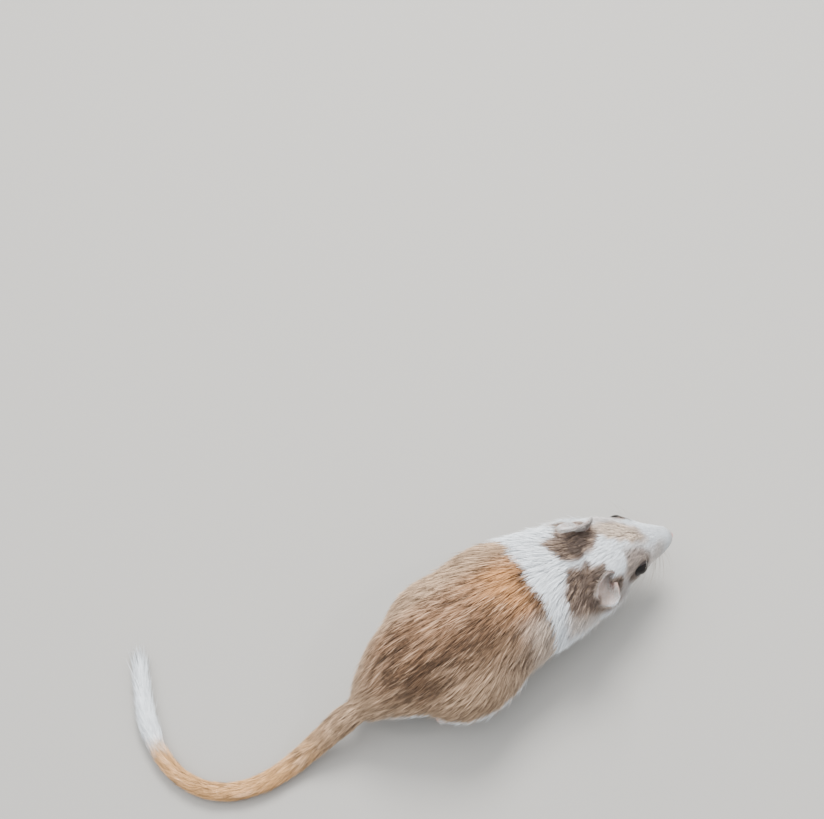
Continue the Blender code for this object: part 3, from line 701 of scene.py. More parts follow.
def lie(points, normals, weights):
    """The way the coat lies at each root, along the skin."""
    head = in_head(points)
    head_mm = head / MM
    body = np.zeros_like(points)
    body[:, 0] = -1
    body[:, 2] = -0.45 - 0.35 * rise(points[:, 0], 0.042, 0.068)
    fore = np.zeros_like(points)
    fore[:, 0], fore[:, 2] = -0.25, -1
    hind = np.zeros_like(points)
    hind[:, 0], hind[:, 2] = -1, -0.65
    _, _, tail = on_tail(points)
    face = np.stack(
        [
            np.full(len(head), -1.0),
            0.30 * np.sign(head[:, 1]) * rise(np.abs(head_mm[:, 1]), 0, 4),
            -0.25 - 0.35 * rise(np.abs(head_mm[:, 1]), 4, 11),
        ],
        1,
    )
    face = face @ HEAD[:3, :3].T
    parts = (
        (("head",), face),
        (("neck", "torso"), body),
        (("hindleg",), hind),
        (("foreleg",), fore),
        (("tail_near", "tail_far"), tail),
    )
    way = sum(share_of(weights, *regions)[:, None] * lying for regions, lying in parts)
    for side in (1, -1):
        centre = HEAD[:3, :3] @ np.array(mirrored(EYE, side)) + HEAD[:3, 3]
        away = points - centre
        far = np.linalg.norm(away, axis=1, keepdims=True)
        near = rise(far / MM, 7.5, 4.2)
        outward = away / far
        inward = np.minimum((way * outward).sum(1, keepdims=True), 0)
        way = way + near * (0.55 - inward) * outward
    turn = 0.10 * wobble(points, 0.012, 5) + random.normal(0, 0.045, len(points))
    way = unit(way - normals * (way * normals).sum(1, keepdims=True))
    return unit(way + np.cross(normals, way) * turn[:, None])


def streaks(roots, ways, pitch):
    """Noise drawn out along the lie of the coat, so that it reads as long, thin lines."""
    total = np.zeros(len(roots))
    for step in np.linspace(-1, 1, 11):
        total += wobble(roots + ways * (step * STREAK_LENGTH / 2), pitch, STREAK_SEED)
    return total / total.std()


def clumped(at):
    """How far each root is aside of its lock's heart, the way there, its lock and the hearts."""
    roots = at.places
    count = max(len(roots) // CLUMP_SIZE, 1)
    chosen = random.choice(len(roots), count, replace=False)
    drawn_out = roots * (LOCK_STRETCH, 1, 1)
    tree = KDTree(count)
    for i, k in enumerate(chosen):
        tree.insert(drawn_out[k], i)
    tree.balance()
    lock = np.array([tree.find(p)[1] for p in drawn_out])
    offset = roots - roots[chosen[lock]]
    across = unit(np.cross(at.up, at.ways))
    return (offset * across).sum(1), across, lock, chosen


TUFT_STEPS = np.array([0.0, 0.5, 1.0])
TUFT_GIRTHS = np.array([0.8, 1.0, 0.0])
BODY_ROUNDNESS, HEAD_ROUNDNESS = 2.2, 1.0  # how far tufts are shaded away from the skin's way


def tuft_lines(roots, normals, ways, across, lengths, heights, aside, lean, tree=None):
    """The three points along each tuft's middle, and the way up at each."""
    centres = np.empty((len(roots), 3, 3))
    ups = np.repeat(normals[:, None], 3, 1)
    bend = random.normal(0, TUFT_BEND, len(roots))
    for k, t in enumerate(TUFT_STEPS):
        slide = -aside * lean * t**1.4 + lengths * bend * t * t
        flat = roots + ways * (lengths * t)[:, None] + across * slide[:, None]
        height = heights * (t**0.75) - (ROOT_SUNK if t == 0 else 0)
        if tree is not None and t > 0:
            ground = np.empty_like(flat)
            for i, place in enumerate(flat):
                near = tree.find_nearest(place)
                ground[i] = near[0]
                ups[i, k] = near[1]
            ups[:, k] = unit(ups[:, k] + normals * 0.5)
            flat = ground
        centres[:, k] = flat + ups[:, k] * height[:, None]
    centres[:, :, 2] = np.maximum(centres[:, :, 2], LEAST_HEIGHT)
    return centres, ups


def tuft_points(centres, ups, across, girths, roundness=None):
    """Seven points for each tuft, three round each section and the tip, and their normals."""
    points = np.empty((len(centres), 7, 3))
    facing = np.empty((len(centres), 7, 3))
    turned = across * (1.0 if roundness is None else roundness[:, None])
    for k in range(2):
        up = ups[:, k]
        half = (girths * TUFT_GIRTHS[k])[:, None]
        points[:, 3 * k] = centres[:, k] - across * half
        points[:, 3 * k + 1] = centres[:, k] + across * half
        points[:, 3 * k + 2] = centres[:, k] + up * half * 0.75
        facing[:, 3 * k] = unit(up - turned)
        facing[:, 3 * k + 1] = unit(up + turned)
        facing[:, 3 * k + 2] = up
    points[:, 6] = centres[:, 2]
    facing[:, 6] = ups[:, 2]
    return points, None if roundness is None else facing


TUFT_QUADS = np.array([(0, 1, 4, 3), (1, 2, 5, 4), (2, 0, 3, 5)])
TUFT_TRIANGLES = np.array([(3, 4, 6), (4, 5, 6), (5, 3, 6), (2, 1, 0)])
PATCH = 0.003  # width of a tuft's patch on the bake map


def tuft_mesh(points, facing, first, second, strand, unwrap):
    """One mesh of all the tufts, with their markings, strand values and bake map."""
    count = len(points)
    quads = (TUFT_QUADS[None] + 7 * np.arange(count)[:, None, None]).reshape(-1, 4)
    triangles = (TUFT_TRIANGLES[None] + 7 * np.arange(count)[:, None, None]).reshape(-1, 3)
    corners = np.concatenate([quads.ravel(), triangles.ravel()])
    starts = np.concatenate(
        [np.arange(len(quads)) * 4, len(quads) * 4 + np.arange(len(triangles)) * 3]
    )
    mesh = bpy.data.meshes.new("tufts")
    mesh.vertices.add(count * 7)
    mesh.loops.add(len(corners))
    mesh.polygons.add(len(starts))
    mesh.vertices.foreach_set("co", points.astype(np.float32).ravel())
    mesh.loops.foreach_set("vertex_index", corners.astype(np.int32))
    mesh.polygons.foreach_set("loop_start", starts.astype(np.int32))
    mesh.update(calc_edges=True)
    mesh.shade_smooth()
    if facing is not None:
        mesh.normals_split_custom_set_from_vertices(facing.reshape(-1, 3).tolist())
    along = np.concatenate([np.repeat(TUFT_STEPS[:2], 3), [1.0]])
    rows = np.repeat(strand[:, None], 7, 1)
    rows = np.concatenate([np.repeat(along[None, :, None], count, 0), rows], 2)
    give(mesh, "strand", rows.reshape(-1, rows.shape[2]))
    give(mesh, "marks", np.repeat(first, 7, 0))
    give(mesh, "more_marks", np.repeat(second, 7, 0))
    patch = np.array([(a, s) for a in TUFT_STEPS[:2] for s in (0.0, 1.0, 0.5)] + [(1.0, 0.5)])
    place = unwrap[:, None] * (1 - PATCH) + patch[None] * PATCH
    mesh.uv_layers.new(name="OFBake").data.foreach_set(
        "uv", place.reshape(-1, 2)[corners].astype(np.float32).ravel()
    )
    return mesh


def unrolled(roots, groups):
    """Places on an unwrap of the skin: along each length of body, and round its middle."""
    place = np.empty((len(roots), 2))
    head = in_head(roots)
    share, middle, way = on_tail(roots)
    aside = np.cross(way, (0, 0, 1.0))
    off = roots - middle
    kinds = {
        "head": (head[:, 0], np.arctan2(head[:, 1], head[:, 2])),
        "body": (roots[:, 0], np.arctan2(roots[:, 1], roots[:, 2] - 0.026)),
        "tail": (share, np.arctan2((off * aside).sum(1), off[:, 2])),
    }
    for kind, (along, round_it) in kinds.items():
        here = groups == kind
        place[here, 0] = along[here]
        place[here, 1] = round_it[here] / (2 * math.pi) + 0.5
    return place


def low_leg(points, weights):
    """1 low on the legs, and 0 on the rest of the skin."""
    legs = share_of(weights, "foreleg", "hindleg")
    return rise(points[:, 2] / MM, 12, 5) * rise(legs, 0.2, 0.6)


def coat_density(points, weights, density):
    """The regions' density, made greater on the low legs, the muzzle and the tail's brush."""
    head = in_head(points) / MM
    share, _, _ = on_tail(points)
    density = density * (1 + 0.5 * low_leg(points, weights))
    density = density * (1 + 0.7 * share_of(weights, "head") * rise(head[:, 0], 16, 34))
    return density * (1 + 0.9 * rise(share, 0.72, 0.80) * rise(points[:, 0], -0.02, -0.05))


class Roots:
    """The coat's roots: where each stands, and how the coat is there.

    The regions' length and girth and the head's places are in millimetres, the rest in metres.
    """

    def __init__(self, skin, weights, depth, keep):
        points = points_of(skin)
        table = np.array([COAT[region] for region in REGIONS])
        fields = np.concatenate([weights @ table, depth[:, None], weights], 1)
        corners, shares = roots_on(skin, coat_density(points, weights, fields[:, 3]), keep)
        places = mixed(points, corners, shares)
        up = unit(mixed(normals_of(skin), corners, shares))
        clear = clear_of_face(places)
        field = mixed(fields, corners, shares)[clear]
        self.places, self.up = places[clear], up[clear]
        _, self.length, self.girth, _, self.depth = field[:, :5].T
        self.weights = field[:, 5:]
        self.ways = lie(self.places, self.up, self.weights)
        self.aside, self.across, self.lock, self.hearts = clumped(self)
        self.edge = np.clip(np.abs(self.aside) / LOCK_HALF_WIDTH, 0, 1)
        self.head = in_head(self.places) / MM
        self.on_head = share_of(self.weights, "head")
        self.on_tail = share_of(self.weights, "tail_near", "tail_far")
        self.tail_share, _, self.onward = on_tail(self.places)
        far = rise(self.tail_share, BRUSH_START - 0.08, BRUSH_CORE_END)
        self.far = far * share_of(self.weights, "tail_far")

    def per_tuft(self, low, high):
        """A random number for each tuft."""
        return random.uniform(low, high, len(self.places))

    def per_lock(self):
        """A random number from 0 to 1 for each tuft, the same all through its lock."""
        return random.uniform(0, 1, len(self.hearts))[self.lock]


def tuft_sizes(at, keep):
    """The tufts' lengths, half widths and heights over the skin, and their locks' tones."""
    head, on_head = at.head, at.on_head
    short = 1 - 0.72 * on_head * rise(head[:, 0], 8, 36)
    for side in (1, -1):
        short = short * (1 - 0.5 * rise(from_eye(head, side), 8, 4.2))
    short = short * (1 - 0.5 * low_leg(at.places, at.weights))
    lengths = at.length * MM * short * at.per_tuft(0.72, 1.18)
    girths = at.girth * MM * (0.55 + 0.45 * short) * at.per_tuft(0.75, 1.25) / math.sqrt(keep)
    lock_tone = at.per_lock()
    heights = at.depth * (1.02 - 0.42 * at.edge**1.5) * at.per_tuft(0.72, 1.06)
    heights = heights * (0.88 + 0.20 * lock_tone)
    end = rise(at.tail_share, 0.86, BRUSH_CORE_END)
    lengths = lengths * (1 + 1.0 * at.far + 0.45 * at.far * end)
    heights = heights * (1 + 6.5 * at.far * at.per_tuft(0.05, 1.0) ** 1.4)
    wide = rise(np.abs(head[:, 1]), 6, 9.5) * rise(head[:, 2], 3.5, -1)
    cheek = on_head * wide * rise(head[:, 0], -3, 4) * rise(head[:, 0], 25, 18)
    throat = share_of(at.weights, "neck") * rise(at.places[:, 2] / MM, 32, 24)
    throat = throat * rise(np.abs(at.places[:, 1]) / MM, 7, 11)
    at_lips = rise(from_lips(head * MM), 2.8, 1.0)
    at_ears = on_head * rise(from_ears(head * MM), 6.5, 3.0)
    heights = heights * (1 + 1.5 * cheek + 0.5 * throat)
    heights = heights * (1 - 0.55 * at_lips) * (1 + 1.1 * at_ears)
    lengths = lengths * (1 + 0.6 * cheek) * (1 - 0.35 * at_lips) * (1 + 0.35 * at_ears)
    stray = at.per_tuft(0, 1) < STRAY_SHARE
    return lengths, girths, heights * np.where(stray, STRAY_LIFT, 1), lock_tone


def tuft_shapes(at, lengths, girths, heights, tree):
    """The tufts laid along the skin, with the brush's free of it and the rump's partly so."""

    def free_lines(here, ways, lift, lean):
        flat = (at.places[here], at.up[here], unit(ways), at.across[here])
        return tuft_lines(*flat, lengths[here], heights[here] * lift, at.aside[here], lean)

    flat = (at.places, at.up, at.ways, at.across)
    centres, ups = tuft_lines(*flat, lengths, heights, at.aside, LOCK_LEAN, tree)
    loose = at.far > 0.25
    free, free_ups = free_lines(loose, 0.25 * at.ways[loose] + at.onward[loose], 1, 0.25)
    centres[loose], ups[loose] = free, free_ups
    x = at.places[:, 0] / MM
    rump = (x > -8) & (x < 12)
    free, _ = free_lines(rump, at.ways[rump] + 0.9 * at.onward[rump], 0.6, 0.6)
    ease = 0.6 * rise(x[rump], 12, 5) * rise(x[rump], -8, -2)
    centres[rump] += (free - centres[rump]) * ease[:, None, None]
    roundness = BODY_ROUNDNESS + (HEAD_ROUNDNESS - BODY_ROUNDNESS) * at.on_head
    return tuft_points(centres, ups, at.across, girths, roundness)


def strand_values(at, first, band, lock_tone):
    """Each tuft's tone and how darkly it is ticked, in streaks along the lie of the coat, with
    painted shade added at the edges of its lock.
    """
    dark_lock = at.per_lock() < DARK_LOCKS
    near_heart = at.places + 0.65 * (at.places[at.hearts[at.lock]] - at.places)
    fine, broad = (streaks(near_heart, at.ways, pitch) for pitch in STREAK_PITCHES)
    streak = rise(fine + 0.25 * broad, -0.1, 1.2)
    # the lock-edge term is painted shade for the gaps between locks; the streaks, dark locks and
    # band are the coat's own ticking
    tick_and_shade = at.edge**1.6 * 0.55 + dark_lock * 0.2 + streak * (0.94 + 0.56 * band) + 0.32 * band
    calm = (1 - 0.45 * at.on_head) * (1 - 0.35 * first[:, 3])
    calm = calm * (1 - 0.75 * share_of(at.weights, "tail_far"))
    tick_and_shade = (tick_and_shade - 0.01) * at.per_tuft(0.6, 1.2) * calm
    tick_and_shade = tick_and_shade + 0.32 * first[:, 1] * rise(at.head[:, 1], 2, -4)
    tick_and_shade = np.maximum(np.clip(tick_and_shade, 0, DARKEST_TICK), eye_line(at.places))
    lift = rise(fine - 0.2 * broad, 0.5, -1.1)
    tone = np.clip(0.25 * lock_tone + 0.20 * at.per_tuft(0, 1) + 0.55 * lift, 0, 1)
    return np.stack([tone, tick_and_shade], 1)


def make_coat(skin, weights, depth, tree):
    """All the coat's pieces over the skin, with the tail's last."""
    keep = 1.0
    at = Roots(skin, weights, depth, keep)
    lengths, girths, heights, lock_tone = tuft_sizes(at, keep)
    shapes, facing = tuft_shapes(at, lengths, girths, heights, tree)
    first, second = markings(at.places + at.ways * (lengths * 0.5)[:, None])
    strand = strand_values(at, first, second[:, 1], lock_tone)
    groups = np.where(at.on_head > 0.5, "head", "body").astype(object)
    groups[at.on_tail > 0.5] = "tail"
    unwrap = unrolled(at.places, groups)
    made = []
    for kind in ("head", "body", "tail"):
        here = np.flatnonzero(groups == kind)
        here = here[np.argsort(unwrap[here, 0], kind="stable")]
        pieces = max(math.ceil(len(here) / MOST_TUFTS), 1)
        for i, part in enumerate(np.array_split(here, pieces)):
            values = (each[part] for each in (shapes, facing, first, second, strand))
            mesh = tuft_mesh(*values, fitted(unwrap[part]))
            made.append(placed(f"coat_{kind}_{i + 1}", mesh, finishes["coat"]))
    return made


def fitted(places):
    """The places, moved and stretched to fill the square from 0 to 1."""
    low, high = places.min(0), places.max(0)
    return (places - low) / (high - low)


def short_fur(name, at, ways, spread, sizes, marks, unwrap):
    """A piece of short, straight fur, whose lengths, heights and half widths are in mm."""
    roots, up = at
    count = len(roots)
    ways = unit(ways - up * (ways * up).sum(1, keepdims=True))
    ways = unit(ways + random.normal(0, spread, ways.shape))
    across = unit(np.cross(up, ways))
    lengths = sizes[0] * MM * random.uniform(0.7, 1.2, count)
    heights = sizes[1] * MM * random.uniform(0.6, 1.2, count)
    centres, ups = tuft_lines(roots, up, ways, across, lengths, heights, np.zeros(count), 0)
    girths = sizes[2] * MM * random.uniform(0.8, 1.2, count)
    shapes, facing = tuft_points(centres, ups, across, girths)
    first, second, tone, tick_and_shade = marks
    strand = np.stack([random.uniform(0.3, 1, count) * tone, tick_and_shade], 1)
    mesh = tuft_mesh(shapes, facing, first, second, strand, unwrap)
    return placed(name, mesh, finishes["coat"])


def from_lips(head):
    """How far each place of the head's frame is from the line of the mouth, in millimetres."""
    lips = np.concatenate([lip_line() * (1, side, 1) for side in (1, -1)])
    away = np.full(len(head), 99.0)
    close = (head[:, 0] > 0.024) & (head[:, 2] < 0)
    away[close] = np.linalg.norm(head[close, None] - lips[None], axis=2).min(1) / MM
    return away


def from_ears(head):
    """How far each place of the head's frame is from the nearer ear's opening, in millimetres."""
    aways = []
    for root, _, look in EARS.values():
        opening = np.array(root + look.normalized() * EAR_OPENING)
        aways.append(np.linalg.norm(head - opening, axis=1) / MM)
    return np.minimum(*aways)


def clear_of_face(roots):
    """True for the roots that aren't on an eye, the nose or the line of the mouth."""
    head = in_head(roots)
    off = (head - np.array(NOSE_PAD))[:, 1:] / (1.45, 1.05)
    clear = (np.linalg.norm(off, axis=1) > MM) | (head[:, 0] < NOSE_PAD.x)
    for side in (1, -1):
        off = head - np.array(mirrored(EYE, side))
        far = np.linalg.norm(off, axis=1)
        looks = (off @ np.array(mirrored(EYE_LOOK, side))) / far
        clear &= (far > EYE_RADIUS * 1.06) | (looks < 0.30)
        clear &= far > EYE_RADIUS * 1.02
    below_nose = (head[:, 0] > LIPS[0][0]) & (head[:, 2] < NOSE_PAD.z)
    clear &= ~(below_nose & (np.abs(head[:, 1]) < 0.30 * MM))
    return clear & (from_lips(head) > 0.95)


# Face


def make_eye(side, node):
    """A round, glossy eye with a slightly raised cornea."""
    bm = bmesh.new()
    ball(bm, (0, 0, 0), (1, 1, 1), 72, 48)
    look = mirrored(EYE_LOOK, side)
    for vertex in bm.verts:
        ahead = max(vertex.co.normalized().dot(Vector((0, 0, 1))), 0)
        vertex.co = vertex.co * EYE_RADIUS * (1 + 0.035 * ahead**6)
    turn = look.to_track_quat("Z", "Y").to_matrix().to_4x4()
    matrix = head_place() @ Matrix.Translation(mirrored(EYE, side)) @ turn
    bmesh.ops.transform(bm, matrix=matrix, verts=bm.verts)
    return placed(node, mesh_of(bm), finishes["eye"])


def lid_edge(side, distance):
    """The almond outline of the open eye, at that distance from the eye's centre."""
    look = mirrored(EYE_LOOK, side)
    ahead = Vector((1, 0, -0.22))
    ahead = (ahead - look * ahead.dot(look)).normalized()
    up = look.cross(ahead) * side
    points = []
    for k in range(LID_STEPS):
        angle = 2 * math.pi * k / LID_STEPS
        along, across = math.cos(angle) / LID_SPREAD[0], math.sin(angle) / LID_SPREAD[1]
        spread = 1 / math.hypot(along, across)
        way = ahead * math.cos(angle) + up * math.sin(angle)
        way = look * math.cos(spread) + way * math.sin(spread)
        points.append(mirrored(EYE, side) + way * distance)
    return points


def make_lids(side, word):
    """The rims of both lids, one closed ring round the eye, thicker above."""
    rows = []
    middle = mirrored(EYE, side)
    edge = lid_edge(side, EYE_RADIUS + 0.12 * MM)
    look = mirrored(EYE_LOOK, side)
    bm = bmesh.new()
    sides = 14
    for k, point in enumerate(edge):
        along = (edge[(k + 1) % len(edge)] - edge[k - 1]).normalized()
        out = (point - middle).normalized()
        across = out.cross(along).normalized()
        upper = max((point - middle).normalized().z, 0)
        girth = (0.28 + 0.10 * upper) * MM
        row = []
        for j in range(sides):
            angle = 2 * math.pi * j / sides
            ripple = 1 + 0.10 * math.sin(k * 0.9) * max(math.sin(angle), 0)
            offset = across * (math.cos(angle) * 1.25) + out * (math.sin(angle) * 0.85)
            row.append(bm.verts.new(point + offset * girth * ripple - look * 0.05 * MM))
        rows.append(row)
    for row, following in zip(rows, rows[1:] + rows[:1]):
        bridge(bm, row, following)
    bmesh.ops.transform(bm, matrix=head_place(), verts=bm.verts)
    return placed(f"lids_{word}", mesh_of(bm), finishes["lid"])


def make_nose():
    """The small bare pad at the muzzle's tip, with comma nostrils and the cleft below, darkened
    with painted shade as deep as they are dented.
    """
    bm = bmesh.new()
    ball(bm, (0, 0, 0), (1, 1, 1), 96, 64)
    radii = Vector((1.50, 1.65, 1.20)) * MM
    hollow_shade = []
    for vertex in bm.verts:
        x, y, z = vertex.co
        depth = 0
        for side in (1, -1):
            across = side * y
            hole = math.hypot((across - 0.46 - 0.20 * z) / 0.20, (z + 0.05) / 0.24)
            tail = math.hypot((across - 0.72) / 0.20, (z - 0.12) / 0.13)
            depth += 0.60 * math.exp(-hole * hole) + 0.30 * math.exp(-tail * tail)
        cleft = math.exp(-((y / 0.08) ** 2)) * 0.22 * min(max((0.15 - z) / 0.4, 0), 1)
        depth = min(depth + cleft, 0.7) if x > 0 else 0
        hollow_shade.append(depth)
        size = 1 - depth * 0.42
        vertex.co = Vector((x * radii.x * size, y * radii.y * size, z * radii.z * size))
    middle = NOSE_PAD + Vector((0.12, 0, -0.05)) * MM
    bmesh.ops.transform(bm, matrix=head_place() @ Matrix.Translation(middle), verts=bm.verts)
    mesh = mesh_of(bm)
    # painted shade: the nostrils and cleft darker the deeper they are dented
    give(mesh, "hollow_shade", np.array(hollow_shade)[:, None] / 0.7)
    return placed("nose", mesh, finishes["nose"])


def lip_line():
    """The line of the mouth on the left, from the middle back to its corner."""
    rows = [(i / (len(LIPS) - 1), *place) for i, place in enumerate(LIPS)]
    return between(rows, np.linspace(0, 1, LIP_STEPS))


def make_mouth(tree):
    """The lips: two soft rims, and a dark line of painted shade in the crease between them, laid
    on the skin.
    """
    rims = bmesh.new()
    crease_shade = bmesh.new()
    place = head_place()
    fade = np.sin(np.linspace(0.22, 0.97, LIP_STEPS) * math.pi) ** 0.5
    for side in (1, -1):
        found = [tree.find_nearest(place @ mirrored(p, side)) for p in lip_line()]
        points = [hit[0] for hit in found]
        up = found[LIP_STEPS // 2][1]
        for lift in (0.24, -0.22):
            centres = []
            for k, (point, normal, _, _) in enumerate(found):
                along = points[min(k + 1, LIP_STEPS - 1)] - points[max(k - 1, 0)]
                across = normal.cross(along).normalized() * (side * lift * MM)
                centres.append(point + across + normal * 0.02 * MM)
            girths = 0.24 * MM * fade
            swept(rims, centres, girths, girths * 0.8, sides=12, up=up)
        # painted shade: a dark tube along the crease of the mouth
        centres = [point + normal * 0.09 * MM for point, normal, _, _ in found]
        girths = 0.11 * MM * fade
        swept(crease_shade, centres, girths, girths, sides=8, up=up)
    # painted shade: a dark line down the cleft from the nose to the mouth
    top = NOSE_PAD - Vector((0, 0, 0.9 * MM))
    bottom = Vector(LIPS[0])
    centres = []
    for t in np.linspace(0, 1, 16):
        ahead = Vector((2.5 * MM * math.sin(math.pi * t), 0, 0))
        point, normal, _, _ = tree.find_nearest(place @ (top.lerp(bottom, t) + ahead))
        centres.append(point + normal * 0.05 * MM)
    girths = 0.10 * MM * np.linspace(1.0, 0.6, 16)
    swept(crease_shade, centres, girths, girths, sides=8, up=place.to_3x3() @ Vector((0, 1, 0)))
    placed("mouth_shade_line", mesh_of(crease_shade), finishes["crease_shade"])
    return placed("mouth", mesh_of(rims), finishes["lip"])


def make_whiskers(tree):
    """Fine, tapered whiskers in four rows on each pad, swept back, and two over each eye."""
    bm = bmesh.new()
    place = head_place()
    turn = place.to_3x3()
    for side in (1, -1):
        starts = []
        for row in range(4):
            for column in range(6):
                along = 0.0374 - 0.0014 * column - 0.0005 * row
                start = Vector((along, 0.03, 0.0008 - 0.0014 * row))
                reach = 0.009 + 0.0034 * column
                rising = 0.20 - 0.24 * row - 0.10 * column
                sweep = Vector((0.10 - 0.26 * column, 1.0, rising))
                starts.append((start, reach, sweep))
        for k in range(2):
            start = Vector((0.0235 - 0.002 * k, 0.02, 0.0115))
            starts.append((start, 0.011, Vector((-0.35, 0.75, 0.75))))
        for start, reach, sweep in starts:
            start = start + Vector(random.normal(0, 0.00025, 3))
            origin = place @ mirrored(start, side)
            aim = place @ Vector((start.x, 0, min(start.z, 0.006)))
            hit = tree.ray_cast(origin, (aim - origin).normalized())[0]
            if hit is None:
                continue
            sweep = (turn @ mirrored(sweep, side)).normalized()
            sweep = (sweep + Vector(random.normal(0, 0.06, 3))).normalized()
            reach *= random.uniform(0.85, 1.12)
            droop = Vector((-0.55, -0.10 * side, -0.25 + random.normal(0, 0.12)))
            steps = np.linspace(0, 1, 12)
            centres = [hit + sweep * reach * t + droop * reach * 0.5 * t * t for t in steps]
            centres = [Vector((c.x, c.y, max(c.z, 0.0004))) for c in centres]
            girths = 0.055 * MM * (1 - 0.88 * steps)
            swept(bm, centres, girths, girths, sides=5, up=Vector((0.2, 0.1, 1)))
    return placed("whiskers", mesh_of(bm), finishes["whisker"])


# Ears


def ear_sheet(side, rows=34, columns=33):
    """The curled sheet of an ear, with soft folds inside, in the animal's frame."""
    bm = bmesh.new()
    grid = []
    for i in range(rows):
        v = i / (rows - 1)
        half_width = between(EAR_OUTLINE, v)[0, 0] * EAR_HALF_WIDTH
        half_angle = math.radians(between(EAR_CURL, v)[0, 0])
        curl = half_width / half_angle
        row = []
        for j in range(columns):
            part = 2 * j / (columns - 1) - 1
            angle = half_angle * part
            fold = 0.28 * MM * math.sin(5.5 * part + 1.0) * math.sin(math.pi * v) ** 2
            forward = curl * (1 - math.cos(angle)) - EAR_TIP_BACK * v * v + fold
            height = EAR_LENGTH * v * (1 - EAR_TIP_ROUND * v * part**2)
            row.append(bm.verts.new((forward, curl * math.sin(angle), height)))
        grid.append(row)
    for row, following in zip(grid, grid[1:]):
        bridge(bm, row, following, closed=False)
    root, tip, look = EARS[side]
    across = tip.cross(look).normalized()
    look = across.cross(tip)
    turn = Matrix((look, across, tip)).transposed().to_4x4()
    place = head_place() @ Matrix.Translation(root - tip * EAR_SUNK) @ turn
    bmesh.ops.transform(bm, matrix=place, verts=bm.verts)
    return bm, place


def ear_shadow_spot(local, side):
    """1 in a painted shadow spot inside the right ear, near its tip, and 0 elsewhere."""
    if side > 0:
        return np.zeros(len(local))
    along = (local[:, 2] / EAR_LENGTH - 0.93) * EAR_LENGTH / MM
    across = local[:, 1] / MM + 0.6
    return np.exp(-((np.hypot(along, across) / 1.8) ** 2))


def make_ear(side, word):
    """An ear: the skin's own sheet, bare deep inside and darkened there with painted shade, and
    the fur on it.
    """
    bm, place = ear_sheet(side)
    mesh = evaluated(
        mesh_of(bm),
        SOLIDIFY={"thickness": EAR_WALL, "offset": 0},
        SUBSURF={"levels": 1, "render_levels": 1},
    )
    points, normals = points_of(mesh), normals_of(mesh)
    inverse = np.array(place.inverted())
    local = moved(points, inverse)
    local_up = normals @ inverse[:3, :3].T
    v = local[:, 2] / EAR_LENGTH
    behind = rise(-local_up[:, 0], -0.2, 0.5)
    inside = rise(local_up[:, 0], 0.2, 0.6)
    bare = mesh.copy()
    # painted shade: the skin darker deep inside towards the root, plus the painted shadow spot
    # near the right ear's tip
    hollow_shade = np.maximum(inside * rise(v, 0.62, 0.10) * 0.75, 0.8 * ear_shadow_spot(local, side))
    give(bare, "hollow_shade", hollow_shade[:, None])
    ear = placed(f"ear_{word}", bare, finishes["ear"])
    walls = np.clip(1 - behind - inside, 0, 1)
    density = (behind * 20 + inside * 17 * rise(v, 0.08, 0.34) + walls * 26) * rise(v, 0.0, 0.15)
    corners, shares = roots_on(mesh, density, 1.0)
    at = (mixed(points, corners, shares), unit(mixed(normals, corners, shares)))
    local = mixed(local, corners, shares)
    back = mixed(behind[:, None], corners, shares)[:, 0]
    ear_coat(side, word, place, at, local, back)
    return ear


def ear_coat(side, word, place, at, local, back):
    """An ear's short fur: longer behind and at its root, pale along its rim, and darkened by a
    painted shadow spot near the right ear's tip.
    """
    turn = place.to_3x3()
    tip_way, out_way = (np.array(turn @ Vector(way)) for way in ((0, 0, 1), (0, 1, 0)))
    ways = tip_way + out_way * (local[:, [1]] / EAR_HALF_WIDTH) * 0.7
    low = rise(local[:, 2] / EAR_LENGTH, 0.42, 0.12)
    sizes = (0.9 + 1.0 * back + 1.1 * low, 0.16 + 0.20 * back + 0.18 * low, 0.062)
    rim = rise(local[:, 2] / EAR_LENGTH, 0.80, 1.0)
    rim = np.maximum(rim, rise(np.abs(local[:, 1]) / EAR_HALF_WIDTH, 0.72, 0.95))
    right = side < 0
    coloured = np.clip(back * (1 - 0.85 * rim), 0, 1) * (1.0 if right else 0.35)
    # painted shadow: a dark spot on the right ear's fur near its tip, where shadow falls behind
    # the rim
    shadow_spot = ear_shadow_spot(local, side)
    front = rise(-local[:, 1] / EAR_HALF_WIDTH, 0.45, 0.85) * (1 - coloured) * right
    dull = (0.95 if right else 0.15) * (1 - 0.4 * rim) * (1 - 0.9 * front)
    white = (1 - 0.6 * coloured) * (1 - shadow_spot)
    none = 0 * shadow_spot
    first = np.stack([white, np.maximum(0.45 * coloured, shadow_spot), none, none], 1)
    second = np.stack([0.25 * (1 - front), none, dull * (1 - shadow_spot), none], 1)
    marks = (first, second, 1 - 0.7 * shadow_spot, np.maximum(0.25 * coloured, 0.8 * shadow_spot))
    unwrap = fitted(local)[:, 1:]
    unwrap[:, 0] = (unwrap[:, 0] + (back > 0.5)) / 2
    short_fur(f"coat_ear_{word}", at, ways, 0.10, sizes, marks, unwrap)


# Feet


def toe_line(root, tip, radius):
    """Centres and girths of a toe with a raised knuckle and a rounded pad at its end."""
    shares = np.linspace(0, 1, 13)
    arch = between(((0, 0), (0.3, 0.6), (0.6, 0.4), (0.85, 0.0), (1, -0.1)), shares)[:, 0]
    girth = between(((0, 1.0), (0.3, 0.96), (0.6, 0.86), (0.86, 0.98), (1, 0.55)), shares)[:, 0]
    centres = [root.lerp(tip, t) + Vector((0, 0, a * MM)) for t, a in zip(shares, arch)]
    return centres, girth * radius


